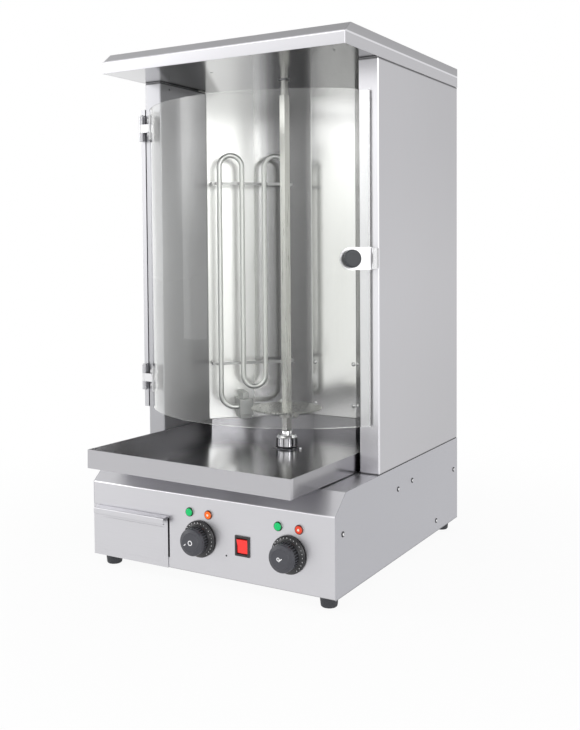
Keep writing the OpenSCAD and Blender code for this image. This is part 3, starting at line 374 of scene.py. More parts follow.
def sheet_metal(name, colour, rough, lines=BRUSHED_X, depth=0.05, cloud=0.04, lift=0.15):
    """Brushed or polished metal; depth, cloud and lift say how much the brush lines show."""
    mat, tree, shader = blank_material(name)
    group = tree.nodes.new("ShaderNodeGroup")
    group.node_tree = brushed_group()
    tree.links.new(object_vector(tree, lines), group.inputs["Lines"])
    tree.links.new(object_vector(tree), group.inputs["Place"])
    group.inputs["Colour"].default_value = (*colour, 1)
    group.inputs["Roughness"].default_value = rough
    group.inputs["Line depth"].default_value = depth
    group.inputs["Cloud depth"].default_value = cloud
    shader.inputs["Metallic"].default_value = 1.0
    tree.links.new(group.outputs["Colour"], shader.inputs["Base Color"])
    tree.links.new(group.outputs["Roughness"], shader.inputs["Roughness"])
    bump(tree, group.outputs["Height"], shader, lift, LINE_HEIGHT)
    return mat


def moulding(name, colour, rough, depth=0.12, dust=0.03, lift=0.1, coat=0.0, metallic=0.0):
    """Plastic, rubber, paint or a casting with a fine skin."""
    mat, tree, shader = blank_material(name)
    group = tree.nodes.new("ShaderNodeGroup")
    group.node_tree = grain_group()
    tree.links.new(object_vector(tree), group.inputs["Place"])
    group.inputs["Colour"].default_value = (*colour, 1)
    group.inputs["Roughness"].default_value = rough
    group.inputs["Depth"].default_value = depth
    group.inputs["Dust"].default_value = dust
    shader.inputs["Metallic"].default_value = metallic
    shader.inputs["Coat Weight"].default_value = coat
    tree.links.new(group.outputs["Colour"], shader.inputs["Base Color"])
    tree.links.new(group.outputs["Roughness"], shader.inputs["Roughness"])
    bump(tree, group.outputs["Height"], shader, lift, SKIN_HEIGHT)
    return mat


def lamp_lens(name, colour, glow):
    """A lamp lens with a little painted glow, which stands in for light through the coloured
    plastic.
    """
    mat = moulding(name, colour, 0.2, depth=0.08, dust=0.0, lift=0.3, coat=0.15)
    shader = mat.node_tree.nodes["Principled BSDF"]
    shader.inputs["Specular IOR Level"].default_value = 0.25
    # Painted glow: the emission stands in for light through the plastic
    shader.inputs["Emission Color"].default_value = (*colour, 1)
    shader.inputs["Emission Strength"].default_value = glow
    return mat


# The glass: how its smears are stretched, from which level one shows, and how rough it is
SMEAR_SCALE = (6, 6, 2)
SMEAR_FROM = 0.45
SMEAR_ROUGH = 0.05


def door_glass(name, colour):
    """Clear toughened glass, faintly smeared: light passes it without a dark shadow."""
    mat, tree, shader = blank_material(name)
    shader.inputs["Base Color"].default_value = (*colour, 1)
    shader.inputs["Transmission Weight"].default_value = 1.0
    shader.inputs["IOR"].default_value = 1.5
    smear = noise(tree, object_vector(tree, SMEAR_SCALE), 3.0)
    shown = math_node(tree, "SUBTRACT", smear, SMEAR_FROM, clamp=True)
    tree.links.new(math_node(tree, "MULTIPLY", shown, SMEAR_ROUGH), shader.inputs["Roughness"])
    clear = tree.nodes.new("ShaderNodeBsdfTransparent")
    clear.inputs["Color"].default_value = (*colour, 1)
    path = tree.nodes.new("ShaderNodeLightPath")
    soft = math_node(tree, "MAXIMUM", path.outputs["Is Shadow Ray"], path.outputs["Is Diffuse Ray"])
    shader_mix(tree, soft, shader.outputs[0], clear.outputs[0], tree.nodes["Material Output"])
    return mat


def paint_light_bands(mat, axis, colour_stops, rough_stops=(), turn=0.0):
    """Paint bands of light and shade into a sheet's colour, and let its roughness change, along an
    axis turned about Z.
    """
    tree = mat.node_tree
    shader = tree.nodes["Principled BSDF"]
    split = tree.nodes.new("ShaderNodeSeparateXYZ")
    tree.links.new(object_vector(tree, turn=(0, 0, turn)), split.inputs[0])
    low, high = colour_stops[0][0], colour_stops[-1][0]
    for socket, stops in (("Base Color", colour_stops), ("Roughness", rough_stops)):
        if not stops:
            continue
        spread = tree.nodes.new("ShaderNodeMapRange")
        spread.inputs["From Min"].default_value = low
        spread.inputs["From Max"].default_value = high
        tree.links.new(split.outputs[axis], spread.inputs["Value"])
        shares = [((place - low) / (high - low), level) for place, level in stops]
        level = ramp(tree, spread.outputs["Result"], shares)
        before = shader.inputs[socket].links[0].from_socket
        product = tree.nodes.new("ShaderNodeVectorMath")
        product.operation = "MULTIPLY"
        tree.links.new(before, product.inputs[0])
        tree.links.new(level, product.inputs[1])
        tree.links.new(product.outputs[0], shader.inputs[socket])
    return mat


# ---- Finishes --------------------------------------------------------------

SATIN_ACROSS = ("base_back", "base_pan", "drawer_box", "drawer_front", "drawer_rails",
                "motor_bracket", "cabinet_back")
SATIN_ALONG = ("base_side_left", "base_side_right")
BRIGHT = ("foot_screws", "reflector_rivets", "drive_shaft", "spindle_left", "spindle_right",
          "door_catch", "back_screws")

# The bands are (place, level) pairs: metres along the sheet's axis, and a share of its colour,
# which paints light and shade.
# The panel: painted shade along its lower lip, and a painted highlight along the fold into the
# sloping strip
PANEL_PAINTED_LIGHT = ((0.0180, 0.66), (0.0194, 0.66), (0.0203, 1.0), (0.1376, 1.0), (0.1384, 1.5),
               (0.1394, 1.5), (0.1402, 1.05), (0.17, 1.05))
# The base's sides: the same painted shade along the lower lip
BASE_SIDE_PAINTED_SHADE = ((0.0180, 0.66), (0.0194, 0.66), (0.0203, 1.0), (0.17, 1.0))
# The cabinet's sides, upwards: painted shade in the seams over the deck and under the hood, and a
# little painted shade towards the bottom
SEAM_PAINTED_SHADE = ((0.166, 0.86), (0.1680, 0.06), (0.1694, 0.06), (0.1700, 0.84), (0.5, 0.9),
              (0.8104, 1.0), (0.8114, 0.06), (0.8130, 0.06), (0.8140, 1.0))
# The cabinet's right side, backwards: painted light makes the column's front brighter than the side
FLANGE_PAINTED_LIGHT = ((-0.08, 1.42), (-0.0748, 1.42), (-0.0738, 1.0), (0.27, 0.94))
# The reflector, to the right: painted reflection, dark in a band on the left flat before its fold
# and bright elsewhere
REFLECTOR_PAINTED_REFLECTION = ((-0.195, 1.18), (-0.140, 1.18), (-0.125, 1.1), (-0.114, 0.8), (-0.104, 0.45),
                   (-0.096, 0.27), (-0.058, 0.22), (-0.050, 0.45), (-0.044, 1.0), (0.05, 1.1),
                   (0.195, 1.18))
# The reflector's roughness: its left edge is less polished than the rest
REFLECTOR_ROUGH = ((-0.195, 2.2), (-0.140, 2.2), (-0.11, 1.1), (0.195, 1.2))
# The plate under the hood: patches of painted dark and bright reflection, askew to its sides
LINER_PAINTED_REFLECTION = ((-0.30, 1.1), (-0.195, 0.95), (-0.185, 0.14), (-0.150, 0.16), (-0.118, 0.4),
               (-0.106, 1.25), (-0.043, 1.2), (0.0, 0.95), (0.025, 0.75), (0.06, 0.42),
               (0.088, 0.26), (0.125, 0.2), (0.150, 0.26), (0.20, 0.9), (0.30, 1.0))
LINER_TURN = -0.51
# The drip tray, backwards: painted light makes the front wall brighter than the floor
TRAY_PAINTED_LIGHT = ((-0.29, 1.05), (-0.2745, 1.05), (-0.2725, 0.72), (0.0, 0.66), (0.21, 0.7))
# The hood, upwards: a painted highlight along the fold over its face, and painted shade on the
# slope and top
HOOD_PAINTED_LIGHT = ((0.812, 1.0), (0.8296, 1.0), (0.8304, 1.4), (0.8322, 1.4), (0.8336, 0.74),
              (0.848, 0.72))


def cover(names, mat):
    """Give CAD nodes a material."""
    for name in names:
        obj = NODES[name]
        obj.data.materials.clear()
        obj.data.materials.append(mat)


def cover_sheet(s):
    """Finish the folded and polished sheet, with painted light, shade and reflections in bands."""
    cover(SATIN_ACROSS, sheet_metal("Satin steel, lines across", s.satin, s.satin_rough))
    panel = sheet_metal("Panel steel", s.satin, s.satin_rough)
    cover(["front_panel"], paint_light_bands(panel, "Z", PANEL_PAINTED_LIGHT))
    sides = sheet_metal("Satin steel, lines from front to back", s.base_side, s.satin_rough,
                        BRUSHED_Y)
    cover(SATIN_ALONG, paint_light_bands(sides, "Z", BASE_SIDE_PAINTED_SHADE))
    right = sheet_metal("Cabinet steel", s.satin, s.satin_rough, BRUSHED_Z)
    cover(["cabinet_side_right"], paint_light_bands(paint_light_bands(right, "Z", SEAM_PAINTED_SHADE), "Y", FLANGE_PAINTED_LIGHT))
    left = sheet_metal("Cabinet steel, left", s.left_side_painted_shade, s.satin_rough, BRUSHED_Z)
    cover(["cabinet_side_left"], paint_light_bands(left, "Z", SEAM_PAINTED_SHADE))
    mirror = sheet_metal("Polished steel", s.polished, s.polished_rough, brush("Z", 8, 60),
                         depth=0.02, cloud=0.05, lift=0.02)
    cover(["reflector"], paint_light_bands(mirror, "X", REFLECTOR_PAINTED_REFLECTION, REFLECTOR_ROUGH))
    liner = sheet_metal("Liner steel", s.liner, s.liner_rough, brush("Y", 8, 60),
                        depth=0.03, cloud=0.05, lift=0.03)
    cover(["hood_liner"], paint_light_bands(liner, "X", LINER_PAINTED_REFLECTION, turn=LINER_TURN))
    tray = sheet_metal("Tray steel", s.tray, s.tray_rough, brush("X", 30, 700),
                       cloud=0.06, lift=0.1)
    cover(["drip_tray"], paint_light_bands(tray, "Y", TRAY_PAINTED_LIGHT))


def cover_fittings(m):
    """Finish the smaller metal pieces."""
    cover(["hinge_angle"], sheet_metal("Hinge steel", m.hinge, 0.34, BRUSHED_Z))
    cover(["hinge_clamps", "hinge_pins"], sheet_metal("Clamp steel", m.clamp, 0.45, BRUSHED_Z))
    cover(["door_plate"], sheet_metal("Plate steel", m.plate, 0.36, BRUSHED_Z))
    cover(["spit_rod", "spit_disc"],
          sheet_metal("Spit steel", m.spit, 0.28, brush("Z", 20, 300), cloud=0.05, lift=0.05))
    cover(BRIGHT,
          sheet_metal("Bright plating", m.plating, 0.16, even_grain(300), depth=0.03, lift=0.05))
    oxide = {"lines": brush("Z", 40, 120), "depth": 0.1, "cloud": 0.12, "lift": 0.1}
    cover(["element_terminal"], sheet_metal("Terminal steel", m.terminal, 0.4, **oxide))
    cover(["heating_tube"], sheet_metal("Element sheath", m.sheath, 0.34, **oxide))
    cover(["element_strap_upper", "element_strap_lower"],
          sheet_metal("Strap steel", m.strap, 0.35, even_grain(300), cloud=0.05, lift=0.05))
    cover(["spit_top_bush"], moulding("Top bush", (0.25, 0.25, 0.26), 0.3, metallic=1.0))
    cover(["deck_bush"], moulding("Bronze", (0.55, 0.36, 0.16), 0.45, metallic=1.0))
    cover(["gearbox"], moulding("Gearbox paint", (0.22, 0.24, 0.26), 0.55, lift=0.25))
    cover(["drive_motor"], moulding("Motor can", (0.10, 0.10, 0.11), 0.4, metallic=0.8))


def cover_mouldings(c, g):
    """Finish the ceramic, the plastics, the rubber and the glass."""
    cover(["thermostat_left", "thermostat_right", "terminal_board"],
          moulding("Ceramic", (0.72, 0.69, 0.60), 0.5, dust=0.08))
    cover(["door_knob"], moulding("Pull plastic", c.pull, 0.34, lift=0.08))
    cover(["switch_frame", "cable_gland"],
          moulding("Black moulding", (0.02, 0.018, 0.018), 0.4))
    cover(["lamp_rims"], moulding("Lamp rim", (0.70, 0.72, 0.71), 0.3, coat=0.4))
    cover(["feet", "door_washers"],
          moulding("Black rubber", (0.022, 0.024, 0.03), 0.62, dust=0.06, lift=0.3))
    # The rocker's glow is painted light, standing in for light through its red plastic
    cover(["switch_rocker"], lamp_lens("Rocker", c.rocker, 0.45))
    cover(["glass_panel"], door_glass("Door glass", g.glass))


class GRILL_OT_finishes(Operator):
    """Give every solid of the grill that stays its finish"""

    bl_idname = "grill.finishes"
    bl_label = "Finishes"

    def execute(self, context):
        scene = context.scene
        cover_sheet(scene.grill_sheet)
        cover_fittings(scene.grill_fitting)
        cover_mouldings(scene.grill_control, scene.grill_glass)
        return {"FINISHED"}


# ---- Forms -----------------------------------------------------------------

MERGE_GAP = 0.001 * MM


def turned(profile, at, toward, steps):
    """A profile of (radius, height) pairs in millimetres, spun round an axis through a point."""
    form = bmesh.new()
    verts = [form.verts.new((radius * MM, 0, height * MM)) for radius, height in profile]
    edges = [form.edges.new(pair) for pair in zip(verts, verts[1:])]
    bmesh.ops.spin(form, geom=verts + edges, cent=(0, 0, 0), axis=UP, angle=math.tau,
                   steps=steps, use_merge=True, use_duplicate=False)
    bmesh.ops.remove_doubles(form, verts=form.verts, dist=MERGE_GAP)
    bmesh.ops.recalc_face_normals(form, faces=form.faces)
    turn = Vector(UP).rotation_difference(Vector(toward)).to_matrix().to_4x4()
    bmesh.ops.transform(form, matrix=Matrix.Translation(at) @ turn, verts=form.verts)
    return form


def rounded(form, edges, width, segments):
    """Round edges of a form by a width in metres."""
    bmesh.ops.bevel(form, geom=edges, offset=width, offset_type="OFFSET", segments=segments,
                    profile=0.5, affect="EDGES", material=-1)


def new_corners(result):
    """The corners that an extrusion made."""
    return [item for item in result["geom"] if isinstance(item, bmesh.types.BMVert)]


def extruded(form, faces, by):
    """Pull faces of a form out along a vector, in metres."""
    grown = bmesh.ops.extrude_face_region(form, geom=faces)
    bmesh.ops.translate(form, vec=by, verts=new_corners(grown))


def block(size, at, turn=None, edge=0.0, place=None):
    """A block in millimetres, its edges cut, then turned, moved, and put in its place."""
    form = bmesh.new()
    bmesh.ops.create_cube(form, size=1)
    bmesh.ops.scale(form, vec=Vector(size) * MM, verts=form.verts)
    if edge:
        rounded(form, form.edges[:], edge * MM, 1)
    if turn:
        bmesh.ops.transform(form, matrix=turn, verts=form.verts)
    bmesh.ops.translate(form, vec=Vector(at) * MM, verts=form.verts)
    if place:
        bmesh.ops.transform(form, matrix=place, verts=form.verts)
    return form


def around(at, number, axis):
    """Places of like parts, spread evenly round an axis through a point."""
    return [Matrix.Translation(at) @ Matrix.Rotation(math.tau * i / number, 4, axis)
            for i in range(number)]


def add(target, form, slot=0):
    """Join one form to another, with its faces on one material slot."""
    for face in form.faces:
        face.material_index = slot
    mesh = bpy.data.meshes.new("part")
    form.to_mesh(mesh)
    form.free()
    target.from_mesh(mesh)
    bpy.data.meshes.remove(mesh)


def piece(name, form, materials, body, nodes=(), smooth=0.6):
    """Make a form an object that rides on a body, in place of CAD nodes where some are named."""
    if not form.faces:
        raise RuntimeError(name + " has no faces")
    mesh = bpy.data.meshes.new(name)
    form.to_mesh(mesh)
    form.free()
    for mat in materials:
        mesh.materials.append(mat)
    if smooth:
        mesh.shade_smooth()
        mesh.set_sharp_from_angle(angle=smooth)
    obj = bpy.data.objects.new(name, mesh)
    bpy.context.scene.collection.objects.link(obj)
    if nodes:
        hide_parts(*nodes)
    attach(obj, body)
    return obj


def middle(node):
    """A CAD node's middle and its two corners."""
    low, high = (Vector(corner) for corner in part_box(node))
    return (low + high) / 2, low, high


def shade_flat_faces(obj):
    """Keep the wide faces of a rounded piece evenly shaded."""
    even = obj.modifiers.new("flat faces", "WEIGHTED_NORMAL")
    even.mode = "FACE_AREA"
    even.weight = 100


# The hood: the height of its face, the run of its slope and its sheet
HOOD_FACE = 18 * MM
HOOD_SLOPE = 20 * MM
HOOD_SHEET = 1.1 * MM


class GRILL_OT_hood(Operator):
    """Make the hood with folded, rounded edges"""

    bl_idname = "grill.hood"
    bl_label = "Hood"

    def execute(self, context):
        s = context.scene.grill_sheet
        _, low, high = middle("hood_shell")
        outline = [(low.y, low.z), (low.y, low.z + HOOD_FACE), (low.y + HOOD_SLOPE, high.z),
                   (high.y, high.z), (high.y, low.z)]
        form = bmesh.new()
        end = form.faces.new([form.verts.new((low.x, y, z)) for y, z in outline])
        extruded(form, [end], (high.x - low.x, 0, 0))
        bmesh.ops.recalc_face_normals(form, faces=form.faces)
        under = [face for face in form.faces if face.normal.z < -0.9]
        bmesh.ops.delete(form, geom=under, context="FACES_ONLY")
        folds = [edge for edge in form.edges if not edge.is_boundary]
        rounded(form, folds, context.scene.grill_form.edge, 4)
        steel = sheet_metal("Hood steel", s.satin, s.satin_rough, BRUSHED_Y)
        # The hood's bands: a painted highlight on the fold and painted shade on the slope and top
        paint_light_bands(steel, "Z", HOOD_PAINTED_LIGHT)
        obj = piece("hood", form, [steel], "frame", ["hood_shell"])
        wall = obj.modifiers.new("wall", "SOLIDIFY")
        wall.thickness = HOOD_SHEET
        wall.offset = -1
        shade_flat_faces(obj)
        return {"FINISHED"}


# The drip tray in millimetres: half its width, where its sides end, its cut corners, its front
TRAY_HALF = 188
TRAY_SIDE_Y = 60.2
TRAY_CORNER = 142.3
TRAY_FRONT_Y = -278.5
# Its hem: the top over the tray's underside, the step in from the wall's face, the rounding
HEM_TOP = 29.6
HEM_INSIDE = 0.15
HEM_ROUND = 0.9
# How the loose tray lies: its height over the deck in millimetres, and its turns in degrees
TRAY_OVER_DECK = 2.1
TRAY_TURNS = ((-0.85, "Z"), (0.5, "Y"), (-0.48, "X"))


class GRILL_OT_tray_hem(Operator):
    """Roll the drip tray's upper edge"""

    bl_idname = "grill.tray_hem"
    bl_label = "Tray hem"

    def execute(self, context):
        s = context.scene.grill_sheet
        f = context.scene.grill_form
        half = TRAY_HALF - HEM_INSIDE
        cut_x = TRAY_HALF - TRAY_CORNER
        front_y = TRAY_FRONT_Y + HEM_INSIDE
        back_y = TRAY_SIDE_Y + TRAY_CORNER - HEM_INSIDE
        plan = [(-half, front_y), (half, front_y), (half, TRAY_SIDE_Y), (cut_x, back_y),
                (-cut_x, back_y), (-half, TRAY_SIDE_Y)]
        under = HEM_TOP * MM - f.hem_h
        form = bmesh.new()
        corners = [form.verts.new((x * MM, y * MM - SPIT_Y, under)) for x, y in plan]
        face = form.faces.new(corners)
        bmesh.ops.inset_individual(form, faces=[face], thickness=f.hem, use_even_offset=True)
        bmesh.ops.delete(form, geom=[face], context="FACES_ONLY")
        extruded(form, form.faces[:], (0, 0, f.hem_h))
        bmesh.ops.recalc_face_normals(form, faces=form.faces)
        half_way = under + f.hem_h / 2
        top = [edge for edge in form.edges if all(v.co.z > half_way for v in edge.verts)]
        rounded(form, top, HEM_ROUND * MM, 3)
        lie = Matrix.Translation((0, SPIT_Y, DECK_Z + TRAY_OVER_DECK * MM))
        for degrees, axis in TRAY_TURNS:
            lie = lie @ Matrix.Rotation(math.radians(degrees), 4, axis)
        bmesh.ops.transform(form, matrix=lie, verts=form.verts)
        steel = sheet_metal("Hem steel", s.hem, s.hem_rough, even_grain(300),
                            depth=0.03, lift=0.05)
        piece("tray_hem", form, [steel], "frame")
        return {"FINISHED"}


# A control knob, outwards from the panel: its skirt, the neck behind its ribs, and its cap
KNOB_SKIRT = ((0, 0), (28.2, 0), (28.5, 0.6), (28.5, 1.6), (27.6, 2.6), (23, 5.4), (22.2, 7.5),
              (20.2, 8), (0, 8))
KNOB_NECK = ((0, 7), (19.6, 7), (19.6, 17), (0, 17))
KNOB_CAP = ((0, 16.6), (20.4, 16.6), (21, 17.4), (21, 21), (20.2, 22.6), (18.6, 23.4),
            (15.5, 24), (15, 24.4), (14.6, 25), (0, 25))
RIB_SIZE = (1.7, 9.6, 1.8)
RIB_AT = (0, -12.2, 20)
RIB_EDGE = 0.4
# The ticks on the skirt's slope: every fourth is longer, and a part of the turn has none
TICK_W, TICK_T = 1.2, 0.35
TICK_SHORT, TICK_LONG = 2.4, 4.0
TICK_LONG_EVERY = 4
TICK_AT = (0, -4.15, 25.2)
TICK_GAP = (0.40, 0.60)
SKIRT_SLOPE = math.atan2(2.8, 4.6)
# The marks on the caps: how far out they lie, and how deep a ring is set in its bar's plane
MARK_OUT = 25.1
RING_T = 0.25
RING_SUNK = 0.1
# For each side: the ring's two radii and its place across, the bar's size, place and turn
MARKS = {
    "left": ((2.6, 4.0), 0, (3.6, 0.3, 1.3), (-10, 0, -4), -35),
    "right": ((1.5, 2.7), -3, (7, 0.3, 1.4), (0.5, 0, -1), -42),
}


def flat_ring(inner, outer):
    """The profile of a thin flat ring."""
    return ((inner, 0), (outer, 0), (outer, RING_T), (inner, RING_T), (inner, 0))


def cap_marks(form, side, mid, face):
    """Print the ring and the bar on a knob's cap."""
    radii, across, bar, bar_at, degrees = MARKS[side]
    ring_at = (mid.x + across * MM, face + RING_SUNK * MM, mid.z)
    add(form, turned(flat_ring(*radii), ring_at, TO_FRONT, 24), 2)
    tilt = Matrix.Rotation(math.radians(degrees), 4, "Y")
    on_cap = Matrix.Translation((mid.x, face, mid.z))
    add(form, block(bar, bar_at, tilt, place=on_cap), 2)


class GRILL_OT_controls(Operator):
    """Make the two control knobs, with their ribs, dials and marks"""

    bl_idname = "grill.controls"
    bl_label = "Control knobs"

    def execute(self, context):
        c = context.scene.grill_control
        f = context.scene.grill_form
        skin = moulding("Knob plastic", c.knob, 0.42, lift=0.12)
        # Skirt and neck: the skirt's own black, and painted shade between the ribs
        dark = moulding("Knob hollows", c.grip, 0.28)
        mark = moulding("Dial print", c.marks, 0.5, dust=0.0)
        slope = Matrix.Rotation(SKIRT_SLOPE, 4, "X")
        for side in MARKS:
            mid, _, high = middle("knob_" + side)
            at = (mid.x, high.y, mid.z)
            form = bmesh.new()
            for profile, slot in ((KNOB_SKIRT, 1), (KNOB_NECK, 1), (KNOB_CAP, 0)):
                add(form, turned(profile, at, TO_FRONT, 72), slot)
            for place in around(at, f.ribs, "Y"):
                add(form, block(RIB_SIZE, RIB_AT, edge=RIB_EDGE, place=place), 0)
            for i, place in enumerate(around(at, f.ticks, "Y")):
                if TICK_GAP[0] < i / f.ticks < TICK_GAP[1]:
                    continue
                tall = TICK_SHORT if i % TICK_LONG_EVERY else TICK_LONG
                add(form, block((TICK_W, TICK_T, tall), TICK_AT, slope, place=place), 2)
            cap_marks(form, side, mid, high.y - MARK_OUT * MM)
            piece("control_knob_" + side, form, [skin, dark, mark], "dial_" + side,
                  ["knob_" + side])
        return {"FINISHED"}


# A lamp in millimetres: how long its lens is, and its shank; the other heights are over the
# lens's seat: its edge with painted shade, its dome, and the pale core of the orange and the red
# one
LENS_DEPTH = 4.2
LENS_SHANK = 5.2
LENS_EDGE = ((5.2, 0), (7.2, 0), (7.2, 1.6), (6.9, 2.4), (6.3, 3.0), (5.7, 2.8), (0, 2.8))
LENS_DOME = ((0, 2.6), (5.8, 2.6), (5.8, 3.0), (5.4, 3.5), (4.4, 3.9), (2.3, 4.0), (2.1, 3.7),
             (0, 3.7))
LENS_CORE = ((0, 3.75), (1.9, 3.75), (1.5, 4.1), (0, 4.18))
# Share of a lens's colour on its edge ring: painted shade on the rounded rim
EDGE_PAINTED_SHADE = 0.16
# Each lamp's colour, its painted glow, its slot, and whether its core shows
LAMPS = {
    "lamp_green_left": ("green", 0.5, "green_lens", False),
    "lamp_orange_left": ("orange", 0.4, "orange_lens", True),
    "lamp_green_right": ("green", 0.5, "green_lens", False),
    "lamp_red_right": ("red", 0.4, "red_lens", True),
}


def raised(profile, height):
    """A profile moved out by a height."""
    return [(radius, out + height) for radius, out in profile]


class GRILL_OT_lamps(Operator):
    """Make the four lamps with their domed lenses"""

    bl_idname = "grill.lamps"
    bl_label = "Lamps"

    def execute(self, context):
        c = context.scene.grill_control
        core = moulding("Lamp core", (0.9, 0.86, 0.72), 0.3, dust=0.0, coat=0.5)
        for node, (hue, glow, slot, has_core) in LAMPS.items():
            mid, low, high = middle(node)
            at = (mid.x, high.y, mid.z)
            seat = (high.y - low.y) / MM - LENS_DEPTH
            colour = getattr(c, hue)
            # The edge ring's darker colour is painted shade
            painted_edge_shade = [EDGE_PAINTED_SHADE * level for level in colour]
            edge = moulding(node + " edge", painted_edge_shade, 0.25, coat=0.3)
            materials = [lamp_lens(node, colour, glow), edge]
            form = bmesh.new()
            shank = [(0, 0), (LENS_SHANK, 0)]
            add(form, turned(shank + raised(LENS_EDGE, seat), at, TO_FRONT, 40), 1)
            add(form, turned(raised(LENS_DOME, seat), at, TO_FRONT, 40), 0)
            if has_core:
                add(form, turned(raised(LENS_CORE, seat), at, TO_FRONT, 24), 2)
                materials.append(core)
            piece(node + "_lens", form, materials, "frame", [node])
        return {"FINISHED"}


# The drawer's raised field in millimetres: its size, its middle and the cut of its edges
FIELD_SIZE = (126.1, 1.2, 55)
FIELD_AT = (-141.55, -226.6, 55.5)
FIELD_EDGE = 0.3


class GRILL_OT_drawer_panel(Operator):
    """Press the shallow field into the drawer's front"""

    bl_idname = "grill.drawer_panel"
    bl_label = "Drawer field"

    def execute(self, context):
        s = context.scene.grill_sheet
        steel = sheet_metal("Drawer field steel", s.satin, s.satin_rough)
        form = block(FIELD_SIZE, FIELD_AT, edge=FIELD_EDGE)
        piece("drawer_field", form, [steel], "drawer", smooth=0)
        return {"FINISHED"}


# The drive socket in millimetres: its drum, and the bores for the spit and for the shaft
DRUM_R = 18.4
SPIT_BORE_R = 8.8
SPIT_BORE_DEPTH = 14
SHAFT_BORE_R = 6.2
# The collar: its radius, its foot below the drum's top and its height over it
COLLAR_R = 9.8
COLLAR_FOOT = 3
COLLAR_H = 7
# A groove: its depth into and out of the drum together, its width, and how much shorter it is
GROOVE_DEPTH, GROOVE_W = 0.8, 1.5
GROOVE_SHORTER = 6.5
GROOVE_END = 4.5
# The lobed washer: its lobes, the notches between them, its hole, and its dished sheet
WASHER_R = 24.4
NOTCH_R = 22.0
WASHER_HOLE_R = 19.4
WASHER_DISH = 1
WASHER_T = 1.4
WASHER_UP = 1.2
# The stud beside the washer, and its place from the middle of the washer's underside
STUD = ((0, 0), (2.4, 0), (2.6, 1), (2.4, 2.6), (1.4, 4), (0, 4.4))
STUD_AT = (29, -3, 0.8)


def socket_form(low, high, grooves):
    """The socket's drum with its bores, its collar and its grooves."""
    at = (0, SPIT_Y, low.z)
    h = (high.z - low.z) / MM
    drum = ((SHAFT_BORE_R, 0), (DRUM_R - 1, 0), (DRUM_R, 1), (DRUM_R, h - 4.6),
            (DRUM_R - 0.8, h - 3.8), (DRUM_R - 1.4, h - 2), (DRUM_R - 3, h), (SPIT_BORE_R, h),
            (SPIT_BORE_R, h - SPIT_BORE_DEPTH), (SHAFT_BORE_R, h - SPIT_BORE_DEPTH),
            (SHAFT_BORE_R, 0))
    collar = ((SPIT_BORE_R, h - COLLAR_FOOT), (COLLAR_R, h - COLLAR_FOOT),
              (COLLAR_R, h + COLLAR_H - 1), (COLLAR_R - 0.6, h + COLLAR_H),
              (SPIT_BORE_R, h + COLLAR_H), (SPIT_BORE_R, h - COLLAR_FOOT))
    form = bmesh.new()
    add(form, turned(drum, at, UP, 48), 0)
    add(form, turned(collar, at, UP, 32), 0)
    # The grooves are strips half set into the drum, coloured near-black as painted shade
    groove = (GROOVE_DEPTH, GROOVE_W, h - GROOVE_SHORTER)
    for place in around(at, grooves, "Z"):
        add(form, block(groove, (DRUM_R, 0, (h - GROOVE_END) / 2), place=place), 1)
    return form


def washer_form(low, lobes):
    """The lobed washer round the tray's hole, and the stud beside it."""
    form = bmesh.new()
    rim = bmesh.ops.create_circle(form, cap_ends=False, radius=WASHER_R * MM,
                                  segments=lobes * 4)["verts"]
    for i, vert in enumerate(rim):
        if i % 4 >= 2:
            vert.co *= NOTCH_R / WASHER_R
    inner = new_corners(bmesh.ops.extrude_edge_only(form, edges=form.edges[:]))
    for vert in inner:
        vert.co = vert.co.normalized() * WASHER_HOLE_R * MM
    bmesh.ops.translate(form, vec=(0, 0, WASHER_DISH * MM), verts=inner)
    extruded(form, form.faces[:], (0, 0, WASHER_T * MM))
    bmesh.ops.recalc_face_normals(form, faces=form.faces)
    bmesh.ops.translate(form, vec=(0, SPIT_Y, low.z + WASHER_UP * MM), verts=form.verts)
    stud_at = Vector((0, SPIT_Y, low.z)) + Vector(STUD_AT) * MM
    add(form, turned(STUD, stud_at, UP, 20), 1)
    return form


class GRILL_OT_drive(Operator):
    """Make the drive socket with its collar, and the lobed washer in the tray"""

    bl_idname = "grill.drive"
    bl_label = "Drive socket"

    def execute(self, context):
        f = context.scene.grill_form
        m = context.scene.grill_fitting
        bright = sheet_metal("Socket plating", m.socket, 0.12, brush("Z", 40, 400),
                             depth=0.03, cloud=0.03, lift=0.04)
        # The grooves' near-black colour is painted shade
        dark = moulding("Socket grooves", (0.02, 0.02, 0.022), 0.4, metallic=0.7)
        _, low, high = middle("drive_socket")
        form = socket_form(low, high, f.grooves)
        piece("drive_socket_drum", form, [bright, dark], "drive",
              ["drive_socket"])
        _, low, _ = middle("tray_ring")
        form = washer_form(low, f.lobes)
        washer = sheet_metal("Washer steel", m.washer, 0.2, even_grain(400),
                             cloud=0.05, lift=0.05)
        piece("tray_washer", form, [washer, bright], "frame", ["tray_ring"])
        return {"FINISHED"}


# The screws of a side, as (Y, Z) in millimetres, and a screw's dark seat and its head
SCREWS_AT = ((-202.5, 109), (-4.5, 131), (53.5, 133), (247.5, 112), (161.5, 38))
SCREW_SEAT = ((0, 0), (4.3, 0), (4.3, 0.5), (3.8, 0.7), (0, 0.7))
SCREW_HEAD = ((0, 0.6), (2.5, 0.6), (2.4, 1.2), (1.8, 1.8), (1.0, 2.05), (0.9, 1.3), (0, 1.3))


